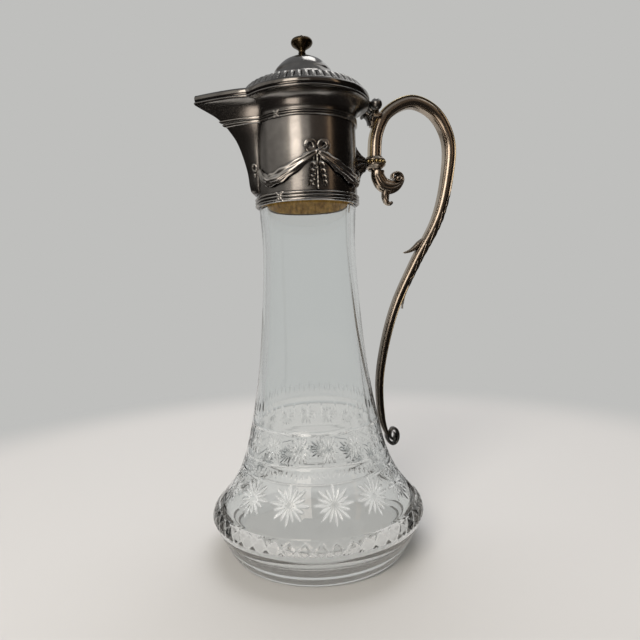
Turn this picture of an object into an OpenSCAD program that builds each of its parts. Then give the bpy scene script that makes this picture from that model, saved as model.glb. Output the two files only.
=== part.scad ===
// Claret jug: a cut-glass body in a plated mount, with a spout, a loop handle and a hinged lid.
// Z is up and the origin is on the axis of the jug, under its foot. The spout points along -X
// and the handle along +X, so the two sides that carry the bows face -Y and +Y.

/* [Glass body] */
// Diameter of the foot that the jug stands on
foot_d = 103; // [92:1:112]
// Diameter of the body at its widest
belly_d = 127; // [120:1:134]
// Height of the widest point above the foot
belly_h = 22.5; // [19:0.5:27]
// Diameter of the waist of the neck
waist_d = 54.4; // [50:0.2:55.6]
// Height of the waist above the foot
waist_h = 176; // [168:1:184]
// Diameter of the neck where it enters the mount
neck_d = 56.4; // [54.8:0.2:58]
// Wall of the glass
glass_wall = 3.6; // [2.6:0.1:4.4]
// Thickness of the glass floor
floor_t = 9; // [6:0.5:13]
// Depth of the neck inside the mount
neck_in = 22; // [16:1:30]

/* [Mount] */
// Height of the lower edge of the mount above the foot
mount_z = 202; // [196:1:210]
// Height of the straight sleeve up to its flare
sleeve_h = 48; // [44:0.5:54]
// Height of the flare under the mouth
flare_h = 8.2; // [7:0.2:10]
// How far the flare spreads beyond the sleeve
flare_out = 8.2; // [7:0.2:10]
// Thickness of the plated sheet
sheet_t = 1; // [0.8:0.05:1.3]
// Height of the lower reeded band
low_band_h = 5.2; // [4:0.1:6.5]
// Height of the upper reeded band
top_band_h = 3.6; // [3:0.1:4.2]
// How far the reeded bands stand proud of the sleeve
band_out = 1.2; // [0.8:0.1:1.6]
// Angle of the crossed ribbons from the line through the spout and the handle
ribbon_at = 48; // [40:1:56]
// Diameter of the wire round the mouth
wire_d = 1.7; // [1.3:0.1:2.1]

/* [Spout] */
// Distance from the axis to the tip of the spout
spout_reach = 62; // [57:0.5:66]
// Width of the spout where it meets the mouth
spout_w = 33; // [28:0.5:36]
// Width of the spout at its foot
spout_foot_w = 13; // [10:0.5:16]
// Height of the spout's foot above the lower edge of the mount
spout_foot_h = 6.8; // [6:0.2:9]

/* [Lid] */
// Height of the plain band round the lid
lid_band_h = 3.3; // [2.8:0.1:4]
// Width of the gadrooned border
border_w = 4.8; // [3.6:0.2:6.4]
// Height of the gadrooned border
border_h = 5; // [4:0.1:6]
// Number of gadroons round the border
gadroons = 56; // [30:1:60]
// Radius of the inner dome at its foot
dome_r = 16.4; // [14:0.2:18]
// Height of the dome above the border
dome_h = 19.8; // [17:0.2:23]
// Height of the finial above the dome
finial_h = 11.8; // [9:0.2:14]
// Diameter of the finial's knob
knob_d = 12.6; // [9:0.2:15]
// Angle to which the lid stands open in this view
lid_open = 0; // [0:5:100]

/* [Hinge] */
// Distance from the axis of the jug to the hinge pin
hinge_x = 41.4; // [41:0.1:42.6]
// Diameter of the hinge barrel
barrel_d = 5.4; // [4.8:0.1:5.6]
// Length of the hinge barrel
barrel_l = 12; // [10:0.5:14]
// Length of the lid's own knuckle
knuckle_l = 4; // [3:0.25:5]
// Diameter of the hinge pin
pin_d = 2; // [1.6:0.1:2.4]
// Diameter of the balls on the ends of the pin
ball_d = 6.8; // [5.8:0.1:7]

/* [Handle] */
// Distance from the axis of the jug to the rising limb of the handle
limb_x = 42; // [40.5:0.25:44]
// Distance from the axis of the jug to the outermost part of the loop
loop_x = 90.3; // [84:0.5:98]
// Height of the top of the loop above the mouth
loop_rise = 5; // [3.5:0.25:6]
// Drop from the mount's lower edge to the middle of the end scroll
handle_drop = 141; // [134:1:146]
// Width of the handle across its loop
handle_w = 8; // [7:0.25:9]
// Thickness of the handle in the plane of its loop
handle_t = 7.4; // [6.4:0.2:8.2]
// Width of the handle at its lower end
tail_w = 4.6; // [4:0.1:5.5]
// Thickness of the handle at its lower end
tail_t = 3.7; // [3.2:0.1:4.4]
// Diameter of the beaded ring
ring_d = 14.2; // [13:0.2:15.4]
// Number of beads on the ring
ring_beads = 15; // [10:1:16]
// Height of the ring's beads above the mount's lower edge
ring_h = 26.4; // [24:0.2:29]

/* [Hidden] */
$fn = 96;

// Clearances: a soldered seam, the lid on the mouth, the running fit of the hinge
seam = 0.05;
lid_gap = 0.1;
pin_fit = 0.04;
knuckle_gap = 0.2;

belly_r = belly_d / 2;
neck_r = neck_d / 2;
sleeve_ri = neck_r + 0.2;
sleeve_ro = sleeve_ri + sheet_t;
flare_z = mount_z + sleeve_h;
rim_z = flare_z + flare_h;
rim_r = sleeve_ro + flare_out;
wire_top = rim_z + wire_d;
lid_z = wire_top + lid_gap;
lid_r = rim_r + 0.4;
lid_top = lid_z + lid_band_h;
hinge_z = lid_z + 0.2;
spout_foot_z = mount_z + spout_foot_h;
ring_z = mount_z + ring_h;

// Smooth curve through control points, with n steps from each point to the next
function lerp(a, b, t) = a + (b - a) * t;
function catmull(a, b, c, d, t) =
    0.5 * (2 * b + (c - a) * t + (2 * a - 5 * b + 4 * c - d) * t * t
    + (3 * b - a - 3 * c + d) * t * t * t);
function spline(p, n) = let (e = len(p) - 1) [
    for (i = [0:e - 1]) for (k = [0:n - 1])
        catmull(p[max(i - 1, 0)], p[i], p[i + 1], p[min(i + 2, e)], k / n),
    p[e]];
function unit(v) = v / norm(v);
function reversed(p) = [for (i = [len(p) - 1:-1:0]) p[i]];
function on_cylinder(a, r, z) = [r * cos(a), r * sin(a), z];

function total(v) = [for (p = v) 1] * v;
function middle(ring) = total(ring) / len(ring);
function ring_normal(ring) = let (n = len(ring))
    total([for (j = [0:n - 1]) cross(ring[j], ring[(j + 1) % n])]);

// Skin over rings of points, which may run either way round
module skin(rings, closed = false) {
    n = len(rings[0]);
    m = len(rings);
    mid = floor((m - 1) / 2);
    along = middle(rings[mid + 1]) - middle(rings[mid]);
    turned = ring_normal(rings[mid]) * along < 0 ? [for (r = rings) reversed(r)] : rings;
    last = closed ? m - 1 : m - 2;
    sides = [for (i = [0:last]) for (j = [0:n - 1])
        let (a = i * n, b = ((i + 1) % m) * n, k = (j + 1) % n) each [
            [a + j, b + j, a + k], [a + k, b + j, b + k]]];
    caps = closed ? [] : [[for (j = [0:n - 1]) j], [for (j = [n - 1:-1:0]) (m - 1) * n + j]];
    polyhedron(points = [for (r = turned) each r], faces = concat(sides, caps));
}

// Sheet between two grids of points, outer and inner, each a list of rows
module sheet(outer, inner) {
    m = len(outer);
    n = len(outer[0]);
    function at(side, i, j) = (side * m + i) * n + j;
    function two(a, b, c, d) = [[a, c, b], [a, d, c]];
    faces = concat(
        [for (i = [0:m - 2]) for (j = [0:n - 2]) each concat(
            two(at(0, i, j), at(0, i + 1, j), at(0, i + 1, j + 1), at(0, i, j + 1)),
            two(at(1, i, j), at(1, i, j + 1), at(1, i + 1, j + 1), at(1, i + 1, j)))],
        [for (i = [0:m - 2]) each concat(
            two(at(0, i, 0), at(1, i, 0), at(1, i + 1, 0), at(0, i + 1, 0)),
            two(at(0, i, n - 1), at(0, i + 1, n - 1), at(1, i + 1, n - 1), at(1, i, n - 1)))],
        [for (j = [0:n - 2]) each concat(
            two(at(0, 0, j), at(0, 0, j + 1), at(1, 0, j + 1), at(1, 0, j)),
            two(at(0, m - 1, j), at(1, m - 1, j), at(1, m - 1, j + 1), at(0, m - 1, j + 1)))]);
    polyhedron(points = concat([for (r = outer) each r], [for (r = inner) each r]), faces = faces);
}

// Glass: shares of the height and of the flare between the waist and the belly
glass_shares = [[0, 1], [0.025, 0.96], [0.055, 0.85], [0.1, 0.69], [0.165, 0.53], [0.25, 0.395],
    [0.39, 0.262], [0.55, 0.15], [0.75, 0.06], [1, 0]];
function flared(r_low, z_low, r_high, z_high) = [for (s = glass_shares)
    [lerp(r_high, r_low, s[1]), lerp(z_low, z_high, s[0])]];
glass_side = spline(concat(flared(belly_r, belly_h, waist_d / 2, waist_h),
    [[neck_r, mount_z - 1]]), 4);
// Radius of the glass at a height above the widest point
function glass_r(z) = lookup(z, [for (p = glass_side) [p[1], p[0]]]);

// Foot: three rounded rings between the foot and the shoulder
foot_shares = [[0, 0], [0.27, 0.31], [0.55, 0.53], [0.88, 0.89]];
ring_swell = 0.8;
foot_side = [for (i = [0:2]) for (k = [0:5]) let (
    a = foot_shares[i], b = foot_shares[i + 1], t = k / 6, s = lerp(a, b, t))
    [lerp(foot_d / 2, belly_r, s[1]) + ring_swell * sin(180 * t), belly_h * s[0]]];
shoulder = [lerp(foot_d / 2, belly_r, 0.89), belly_h * 0.88];
neck_step = 1.2;
neck_top = mount_z + neck_in;
glass_in = spline(concat(
    [[0, floor_t], [belly_r * 0.6, floor_t + 0.4], [belly_r - 13, floor_t + 3.5],
        [belly_r - 8, belly_h - 3]],
    flared(belly_r - 7, belly_h + 3, waist_d / 2 - glass_wall, waist_h),
    [[neck_r - neck_step - glass_wall + 0.4, mount_z], [neck_r - neck_step - glass_wall + 0.4,
        neck_top]]), 4);

module glass_body() {
    color("#dfe8ea")
    rotate_extrude() polygon(concat(
        [[0, 0]],
        foot_side, [shoulder], glass_side,
        [[neck_r, mount_z + 0.4], [neck_r - neck_step, mount_z + 0.5],
            [neck_r - neck_step, neck_top - 0.6], [neck_r - neck_step - 0.6, neck_top]],
        reversed(glass_in)));
}

// Cement bed between the neck of the glass and the sleeve
cement_h = 17;
module neck_cement() {
    color("#8a6a3c")
    translate([0, 0, mount_z + 0.6]) difference() {
        cylinder(r = sleeve_ri - seam, h = cement_h);
        translate([0, 0, -1]) cylinder(r = neck_r - neck_step + seam, h = cement_h + 2);
    }
}

// Outline of the sleeve and its flare, grown outwards by d
function sleeve_side(d) = concat([[sleeve_ro + d, mount_z]], [for (k = [0:8]) let (a = k * 11.25)
    [sleeve_ro + d + flare_out * (1 - cos(a)), flare_z + flare_h * sin(a)]]);
function sleeve_r(z) = z <= flare_z ? sleeve_ro
    : sleeve_ro + flare_out * (1 - cos(asin(min(1, (z - flare_z) / flare_h))));
module sleeve_solid(d) {
    over = d > 0 ? 1 : 0;
    side = sleeve_side(d);
    rotate_extrude() polygon(concat([[0, mount_z - over]], [[side[0][0], mount_z - over]], side,
        [[side[9][0], rim_z + over], [0, rim_z + over]]));
}

// Spout: keel as height share and reach share, both from the foot of the spout to its tip
keel_shares = [[0, 0.03], [0.03, 0.09], [0.09, 0.12], [0.26, 0.15], [0.46, 0.23], [0.61, 0.32],
    [0.72, 0.43], [0.8, 0.53], [0.87, 0.65], [0.92, 0.78], [0.96, 0.89], [1, 1]];
keel = spline(keel_shares, 2);
spout_levels = [for (q = keel) q[0]];
spout_round = 1.3;
function spout_z(k) = lerp(spout_foot_z, rim_z, k);
function keel_x(k) = lerp(sleeve_ro, spout_reach, lookup(k, keel));
function spout_half(k) = lerp(spout_foot_w, spout_w, 0.3 * k + 0.7 * pow(k, 5)) / 2;
// Point of the spout at height share k, drawn in by d; v runs from -1 on the near seam to 1
function spout_point(k, v, d) = let (
    w = spout_half(k) - d,
    r = sleeve_r(spout_z(k)) + seam,
    x0 = sqrt(r * r - w * w),
    x1 = max(keel_x(k) - 1.5 * d, x0 + 0.2),
    u = 1 - abs(v))
    [-lerp(x0, x1, u), sign(v) * w * (1 - pow(u, spout_round + 0.8 * (1 - k))), spout_z(k)];
spout_vs = [for (i = [-6:6]) i / 6];
function spout_curve(k, d) = [for (v = spout_vs) spout_point(k, v, d)];
// Point that lies proud of the spout by d at the height z
function on_spout(v, z, d) =
    spout_point(min(1, (z - spout_foot_z) / (rim_z - spout_foot_z)), v, -d);
// The room inside the spout, from height share k0 up, closed behind at x = -back
module spout_room(d, k0, back) {
    function ring(k, z) = let (c = spout_curve(k, d), e = len(c) - 1) [
        [-back, c[0][1], z], for (p = c) [p[0], p[1], z], [-back, c[e][1], z]];
    skin(concat([ring(k0, spout_z(k0))],
        [for (k = spout_levels) if (k > k0 + 0.001) ring(k, spout_z(k) + 0.03)],
        [ring(1, rim_z + 2)]));
}
spout_window = 0.08;

module collar_sleeve() {
    color("#5d5f62")
    difference() {
        sleeve_solid(0);
        translate([0, 0, mount_z - 1]) cylinder(r = sleeve_ri, h = sleeve_h + 1.01);
        rotate_extrude() polygon(concat([[0, flare_z - 0.01], [sleeve_ri, flare_z - 0.01]],
            [for (p = sleeve_side(-sheet_t)) if (p[1] > flare_z) p],
            [[rim_r - sheet_t, rim_z + 1], [0, rim_z + 1]]));
        spout_room(sheet_t + 0.4, spout_window, sleeve_ri - 6);
    }
}

module spout() {
    color("#5a5c60")
    sheet([for (k = spout_levels) spout_curve(k, 0)], [for (k = spout_levels) spout_curve(k, sheet_t)]);
}

// Mouth outline: a round mouth that runs out into the point of the spout
mouth_turn = 4;
function half_mouth(r) = let (w = spout_w / 2, aj = 180 - asin(w / r), xj = r * cos(aj)) concat(
    [for (k = [0:24]) let (a = (aj - mouth_turn) * k / 24) [r * cos(a), r * sin(a)]],
    [for (k = [1:10]) let (u = k / 10) [lerp(xj, -spout_reach, u), w * (1 - pow(u, spout_round))]]);
function mouth(r) = let (h = half_mouth(r), n = len(h)) concat(h,
    [for (i = [n - 2:-1:1]) [h[i][0], -h[i][1]]]);
function mouth_normal(m, i) = let (n = len(m), t = unit(m[(i + 1) % n] - m[(i + n - 1) % n]))
    [t[1], -t[0]];
// Ring of section points round the mouth; each section point is [outwards, z]
function mouth_rings(r, section) = let (m = mouth(r)) [for (i = [0:len(m) - 1])
    let (q = mouth_normal(m, i)) [for (s = section) [m[i][0] + q[0] * s[0], m[i][1] + q[1] * s[0],
        s[1]]]];

wire_in = 0.5;
module mouth_wire() {
    r = wire_d / 2;
    color("#6a6c70")
    skin(mouth_rings(rim_r, [for (k = [0:7]) let (a = 22.5 + 45 * k)
        [-wire_in + r * cos(a) / cos(22.5), rim_z + seam + r + (r - seam) * sin(a) / cos(22.5)]]),
        closed = true);
}

// Reeded band: a ring of three reeds with crossed ribbons
reeds = 3;
reed_root = 0.35;
module reeded_band(h, span) {
    ri = sleeve_ro + seam;
    side = [for (k = [0:reeds - 1]) for (t = [0:0.2:1])
        [ri + lerp(reed_root, 1, sin(180 * t)) * band_out, h * (k + 0.03 + 0.94 * t) / reeds]];
    rotate([0, 0, -span / 2]) rotate_extrude(angle = span)
        polygon(concat([[ri, 0]], side, [[ri, h]]));
    intersection() {
        rotate([0, 0, -span / 2]) rotate_extrude(angle = span)
            translate([ri + 0.1, 0.1]) square([band_out + 0.1, h - 0.2]);
        union() for (a = [-ribbon_at, ribbon_at, 180 - ribbon_at, 180 + ribbon_at]) for (s = [-1, 1])
            rotate([0, 0, a]) translate([ri, 0, h / 2])
            rotate([s * 38, 0, 0]) cube([6, 1.1, 3 * h], center = true);
    }
}

module lower_band() {
    color("#65676b") translate([0, 0, mount_z]) reeded_band(low_band_h, 360);
}

// The upper band stops at the sides of the spout
band_top_z = flare_z;
band_k = (band_top_z - top_band_h / 2 - spout_foot_z) / (rim_z - spout_foot_z);
band_stop = asin(spout_half(band_k) / sleeve_ro) + 2.5;
module upper_band() {
    color("#65676b") translate([0, 0, band_top_z - top_band_h])
        reeded_band(top_band_h, 2 * (180 - band_stop));
}

// Two reeds across the spout that carry on the line of the upper band
moulding_r = top_band_h / 4 - seam;
module spout_moulding() {
    color("#7d7a74")
    for (s = [0.25, 0.75]) skin([for (v = spout_vs) [for (q = [0:6]) let (a = -90 + 30 * q)
        on_spout(v, band_top_z - top_band_h * (1 - s) + moulding_r * sin(a),
            seam + moulding_r * cos(a))]]);
}

// Ornament that lies on the sleeve: points are [angle, z], the section is [across, outwards]
function lain(p, section, base, grow = [1]) = let (n = len(p) - 1) [for (i = [0:n]) let (
    a = p[i][0],
    o = on_cylinder(a, sleeve_ro + base, p[i][1]),
    q = on_cylinder(p[min(i + 1, n)][0], sleeve_ro + base, p[min(i + 1, n)][1])
        - on_cylinder(p[max(i - 1, 0)][0], sleeve_ro + base, p[max(i - 1, 0)][1]),
    out = [cos(a), sin(a), 0],
    side = unit(cross(out, q)),
    g = grow[min(i, len(grow) - 1)])
    [for (s = section) o + side * s[0] * g + out * s[1] * g]];

// Half of a swag, as degrees from the bow and share of its sag below the bow
swag_line = [[5, 0.05], [20, 0.45], [38, 0.84], [53, 1], [64, 0.8], [71, 0.46]];
swag_high = 24.8;
swag_sag = 12.8;
swag_w = 4.6;
swag_out = 2.3;
// Section of the draped cloth with three folds along it, as shares of width and of relief
swag_folds = [[-1, 0], [-0.8, 0.72], [-0.45, 0.5], [0, 1], [0.4, 0.55], [0.8, 0.78], [1, 0]];
module half_swag(side) {
    line = spline(swag_line, 4);
    n = len(line) - 1;
    section = [for (p = swag_folds) [-side * swag_w / 2 * p[0], swag_out * p[1]]];
    swell = [for (i = [0:n]) 0.4 + 0.6 * pow(sin(180 * i / n), 1.2)];
    skin(lain([for (p = line) [-90 + side * p[0], mount_z + swag_high - swag_sag * p[1]]],
        section, seam, swell));
}
module swags() {
    for (side = [-1, 1]) half_swag(side);
}
module swags_near() {
    color("#6e6f70") swags();
}
module swags_far() {
    color("#6e6f70") rotate([0, 0, 180]) swags();
}

// Bow of ribbon: two loops and a knot
bow_z = mount_z + 25.8;
loop_rx = 2.5;
loop_rz = 2.4;
ribbon_w = 1.5;
ribbon_out = 0.8;
function deg_along(mm) = mm / sleeve_ro * 180 / PI;
module bow() {
    flat = [[-ribbon_w / 2, 0], [ribbon_w / 2, 0], [ribbon_w / 2, ribbon_out],
        [-ribbon_w / 2, ribbon_out]];
    for (side = [-1, 1]) {
        loop = [for (k = [0:17]) let (a = 200 + 20 * k)
            [-90 + side * deg_along(3.4 + loop_rx * cos(a)), bow_z + 2.6 + loop_rz * sin(a)]];
        n = len(loop);
        rings = lain(concat([loop[n - 1]], loop, [loop[0]]), flat, seam);
        skin([for (i = [1:n]) rings[i]], closed = true);
    }
    intersection() {
        translate([0, -sleeve_ro, bow_z]) sphere(r = 1.9, $fn = 32);
        difference() {
            cylinder(r = sleeve_ro + 4, h = 2 * mount_z);
            cylinder(r = sleeve_ro + seam + 0.03, h = 2 * mount_z);
        }
    }
}
module bow_near() {
    color("#74757a") bow();
}
module bow_far() {
    color("#74757a") rotate([0, 0, 180]) bow();
}

// Pair of husk drops that hang below the bow
husk_l = 9;
husk_w = 3.2;
husk_out = 1.6;
husk_apart = 3.7;
husk_high = bow_z - 7.4;
module husk_drops() {
    section = [for (k = [0:7]) let (a = 45 * k + 22.5)
        [husk_w / 2 * cos(a), husk_out / 2 * (1 + sin(a) / cos(22.5))]];
    girth = [for (k = [0:8]) 0.25 + 0.75 * sin(12 + 18.5 * k) * (k % 3 == 2 ? 0.8 : 1)];
    for (side = [-1, 1])
        skin(lain([for (k = [0:8]) [-90 + side * deg_along(husk_apart), husk_high - husk_l * k / 8]],
            section, seam, girth));
}
module husk_drops_near() {
    color("#6c6e72") husk_drops();
}
module husk_drops_far() {
    color("#6c6e72") rotate([0, 0, 180]) husk_drops();
}

// Straight ribbon rod from the knot down to the lower band
rod_d = 1.3;
module ribbon_rod() {
    translate([0, -sleeve_ro - seam - rod_d / 2, mount_z + low_band_h + 0.2])
        cylinder(d = rod_d, h = bow_z - 2.2 - mount_z - low_band_h, $fn = 24);
}
module ribbon_rod_near() {
    color("#7a7b7d") ribbon_rod();
}
module ribbon_rod_far() {
    color("#7a7b7d") rotate([0, 0, 180]) ribbon_rod();
}

// Knot on the flank of the spout where the swag is hung: a loop of ribbon over a bead
knot_v = 0.62;
knot_z = mount_z + 21;
module spout_knot(side) {
    function spot(p, out) = on_spout(side * (knot_v + 0.11 * p[0]), knot_z + p[1], seam + out);
    loop = [for (k = [0:11]) [1.3 * cos(30 * k), 1.8 * sin(30 * k)]];
    skin([for (p = loop) [spot(p * 0.72, 0), spot(p * 0.72, 0.7), spot(p * 1.28, 0.7),
        spot(p * 1.28, 0)]], closed = true);
    bead = [for (k = [0:5]) [0.1 + cos(15 * k), 1.4 * sin(15 * k) / sin(75)]];
    skin([for (b = bead) [for (q = [0:9]) spot([1.1 * b[0] * cos(36 * q),
        1.2 * b[0] * sin(36 * q) - 4], b[1])]]);
}
module spout_knot_near() {
    color("#8a8a88") spout_knot(-1);
}
module spout_knot_far() {
    color("#8a8a88") spout_knot(1);
}

// Cast bracket that carries the handle's ring on the sleeve
bracket_low = 10;
bracket_high = 37.6;
module handle_bracket() {
    x1 = limb_x - ring_d * 0.3;
    color("#4b4c4e")
    difference() {
        skin([for (k = [0:7]) let (
            t = k / 7,
            x = lerp(sleeve_ri - 1, x1, t),
            e = pow(1 - t, 1.6),
            top = lerp(ring_z + 3.4, mount_z + bracket_high, e),
            low = lerp(ring_z - 5.8, mount_z + bracket_low, pow(1 - t, 2.2)),
            w = lerp(4.2, 7.6, e))
            [for (q = [0:19]) let (a = -18 * q, s = 1 + 0.07 * (q % 2))
                [x, w * s * cos(a), (top + low) / 2 + (top - low) / 2 * s * sin(a)]]]);
        sleeve_solid(seam);
        translate([limb_x, 0, ring_z - 3.2]) cylinder(d = ring_d + 2 * seam, h = 12);
        translate([limb_x, 0, ring_z - 12])
            cylinder(r1 = 3, r2 = ring_d / 2 + seam, h = 8.81);
    }
}

// Beaded ring at the root of the handle
bead_d = 2.3;
ring_top = ring_z + 3;
ring_low = ring_z - 4.7;
module handle_ring() {
    r = ring_d / 2;
    color("#b3a480")
    union() {
        translate([limb_x, 0, 0]) rotate_extrude() polygon([[0, ring_low], [3.8, ring_low],
            [4.2, ring_low + 0.8], [5.2, ring_low + 1.6], [r - 0.6, ring_z - 2],
            [r - 0.4, ring_z - 1.2], [r - 1.2, ring_z - 0.9], [r - 1.2, ring_z + 0.9],
            [r - 0.5, ring_z + 1.1], [r - 0.8, ring_z + 1.9], [5.6, ring_z + 2.1],
            [5.2, ring_top], [0, ring_top]]);
        for (k = [0:ring_beads - 1]) translate([limb_x, 0, ring_z])
            rotate([0, 0, 360 * k / ring_beads]) translate([r - bead_d / 2, 0, 0])
            sphere(d = bead_d, $fn = 24);
    }
}

// Middle line of the handle in its own plane, as [x, z], from the ring over the loop to the scroll
volute_rx = 4.4;
volute_rz = 7;
whorl_t = 2.2;
volute_z = mount_z - handle_drop;
volute_x = glass_r(volute_z - 5) + volute_rx + 1;
loop_top = wire_top + loop_rise;
function fall(s) = lerp(ring_z, volute_z, s);
// Middle line of the volute: it starts at the side next to the glass and winds in
volute_turns = 1.3;
volute_line = [for (i = [0:28]) let (s = i / 28, a = 170 + 360 * volute_turns * s,
    f = 1 - 0.75 * pow(s, 0.9))
    [volute_x + (volute_rx - whorl_t / 2) * f * cos(a),
        volute_z + (volute_rz - whorl_t / 2) * lerp(f, 1, 0.25 * (1 - s)) * sin(a)]];
handle_line = spline([
    [limb_x, ring_top + seam], [limb_x + 1.6, ring_z + 17], [limb_x + 8.6, loop_top - 7.2],
    [lerp(limb_x, loop_x, 0.5), loop_top], [lerp(limb_x, loop_x, 0.82), loop_top - 6.4],
    [loop_x, ring_z + 14], [loop_x - 1, ring_z - 7], [lerp(limb_x, loop_x, 0.83), fall(0.2)],
    [lerp(limb_x, loop_x, 0.51), fall(0.36)], [lerp(limb_x, loop_x, 0.24), fall(0.51)],
    [glass_r(fall(0.653)) + 14.6, fall(0.653)], [glass_r(fall(0.795)) + 7.1, fall(0.795)],
    [glass_r(fall(0.925)) + 3.6, fall(0.925)], volute_line[0] + [0, seam]], 4);
handle_n = len(handle_line) - 1;
// Half thickness and half width at step i; the last four steps narrow to the volute's whorl
function taper(i) = let (s = max(0, i / handle_n - 0.42) / 0.58, e = max(0, (i - handle_n + 4) / 4)) [
    lerp(lerp(handle_t, tail_t, pow(s, 0.8)), whorl_t, e) / 2,
    lerp(handle_w, tail_w, pow(s, 0.8)) / 2];
// Section of the handle: a rounded bar whose sides are sunk between two edge beads, as [out, across]
bar = [[1, 0.45], [0.92, 0.78], [0.7, 1], [0.52, 0.86], [-0.52, 0.86], [-0.7, 1], [-0.92, 0.78],
    [-1, 0.45]];
bar_ring = concat(bar, [for (p = reversed(bar)) [p[0], -p[1]]]);
function handle_out(i) = let (t = i == 0 ? [0, 1] : unit(handle_line[min(i + 1, handle_n)]
    - handle_line[i - 1])) [-t[1], t[0]];
// Section ring at step i, with the given outline grown by d
function handle_section(i, outline, d) = let (
    o = handle_line[i], q = handle_out(i), h = taper(i))
    [for (s = outline) let (a = s[0] * (h[0] + d), b = s[1] * (h[1] + d))
        [o[0] + q[0] * a, b, o[1] + q[1] * a]];

module handle_loop() {
    color("#a59c90")
    skin([for (i = [0:handle_n]) handle_section(i, bar_ring, 0)]);
}

// Long acanthus leaf on the outer face of the handle; its tip turns outwards
leaf_from = 25;
leaf_to = 37;
leaf_out = [[0.2, 1.22], [0.8, 1.15], [1.1, 0.9], [1.28, 0.4]];
leaf_in = [[0.2, 1], [0.7, 1], [0.92, 0.78], [1, 0.45]];
function both_sides(p) = concat(p, [for (q = reversed(p)) [q[0], -q[1]]]);
module handle_leaf() {
    n = leaf_to - leaf_from;
    outer = reversed(both_sides(leaf_out));
    inner = reversed(both_sides(leaf_in));
    function row(k, outline, lift) = let (
        o = handle_line[leaf_from + k], q = handle_out(leaf_from + k), h = taper(leaf_from + k))
        [for (p = outline) let (a = p[0] * h[0] + seam + lift, b = p[1] * (h[1] + seam))
            [o[0] + q[0] * a, b, o[1] + q[1] * a]];
    function thick(k) = 0.35 + 0.65 * sin(180 * min(1, k / n * 1.3));
    color("#8f8064")
    sheet([for (k = [0:n]) row(k, lerp(inner, outer, thick(k)), k > n - 2 ? 1.2 : 0)],
        [for (k = [0:n]) row(k, inner, 0)]);
}

// Thorn-like leaf that springs from the inner face of the handle towards the jug
thorn_at = 30;
module handle_thorn() {
    o = handle_line[thorn_at];
    t = unit(handle_line[thorn_at + 1] - handle_line[thorn_at]);
    q = handle_out(thorn_at);
    h = taper(thorn_at)[0];
    line = spline([[0, -h - 1.25], [6, -h - 1.7], [11, -h - 3.5], [14, -h - 6.6]], 3);
    n = len(line) - 1;
    color("#a39a86")
    skin([for (i = [0:n]) let (s = 1 - 0.7 * i / n) [for (k = [0:9]) let (
        a = -36 * k,
        u = line[i][0] + 0.5 * s * cos(a),
        v = line[i][1] + 1.15 * s * cos(a))
        [o[0] + t[0] * u + q[0] * v, 2.6 * s * sin(a), o[1] + t[1] * u + q[1] * v]]]);
}

// Volute that ends the handle: its bar winds in on itself and thins towards the eye
module handle_volute() {
    n = len(volute_line) - 1;
    color("#5b5957")
    skin([for (i = [0:n]) let (
        o = volute_line[i],
        t = unit(i == 0 ? handle_line[handle_n] - handle_line[handle_n - 1]
            : volute_line[min(i + 1, n)] - volute_line[i - 1]),
        h = lerp(whorl_t / 2, 0.6, i / n),
        w = lerp(tail_w / 2, 1.5, i / n))
        [for (b = bar_ring) [o[0] - t[1] * b[0] * h, b[1] * w, o[1] + t[0] * b[0] * h]]]);
}

// Scroll that hangs below the ring: a thick leaf that sweeps out into a volute, with a short tail.
// Each point of its middle line is [reach, drop, half thickness], the first two as shares
drop_out = 15;
drop_low = 20;
drop_w = 3.8;
drop_leaf = [[0.11, 0, 4], [0.11, 0.17, 4.3], [0.28, 0.385, 4.6], [0.57, 0.475, 4.5], [0.88, 0.445, 3.1],
    [1.1, 0.29, 1.6], [1.07, 0.13, 1.3], [0.91, 0.06, 1.2], [0.74, 0.11, 1.1], [0.71, 0.22, 1]];
drop_tail = [[0.42, 0.6, 2.5], [0.4, 0.78, 2.4], [0.44, 0.93, 1.8], [0.57, 0.98, 1.3], [0.68, 0.94, 0.9]];
drop_eye = [0.91, 0.23];
eye_r = 2;
function drop_at(p) = [limb_x + 0.4 + drop_out * p[0], ring_low - seam - drop_low * p[1]];
module drop_stem(stations, steps, w0, w1) {
    line = spline([for (p = stations) concat(drop_at(p), [p[2]])], steps);
    n = len(line) - 1;
    function flat(p) = [p[0], p[1]];
    skin([for (i = [0:n]) let (
        o = line[i],
        t = i == 0 ? [0, -1] : unit(flat(line[min(i + 1, n)]) - flat(line[i - 1])),
        w = lerp(w0, w1, i / n))
        [for (k = [0:9]) let (a = 36 * k)
            [o[0] - t[1] * o[2] * cos(a), w * sin(a), o[1] + t[0] * o[2] * cos(a)]]]);
}
module handle_drop_scroll() {
    eye = drop_at(drop_eye);
    color("#9a8f7e")
    union() {
        drop_stem(drop_leaf, 3, drop_w, drop_w * 0.75);
        drop_stem(drop_tail, 2, 2.6, 1.6);
        translate([eye[0], 0, eye[1]]) rotate([90, 0, 0])
            cylinder(r = eye_r, h = 2 * drop_w, center = true, $fn = 32);
    }
}

// Strap that ties the top of the handle's limb to the flare of the sleeve
module hinge_strap() {
    line = spline([[rim_r - 3.6, rim_z - 1.9], [rim_r - 0.8, rim_z - 2.5], [limb_x - 3, rim_z - 4.8],
        [limb_x - 2.1, rim_z - 7.8]], 3);
    n = len(line) - 1;
    color("#4b4c4e")
    difference() {
        skin([for (i = [0:n]) let (
            t = unit(line[min(i + 1, n)] - line[max(i - 1, 0)]))
            [for (k = [0:7]) let (a = 45 * k + 22.5)
                [line[i][0] - t[1] * 1.1 * cos(a), 3 * sin(a), line[i][1] + t[0] * 1.1 * cos(a)]]]);
        sleeve_solid(seam);
        limb_solid();
        saddle_neck(seam);
    }
}
module limb_solid() {
    skin([for (i = [0:11]) handle_section(i, bar_ring, seam)]);
}

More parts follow.
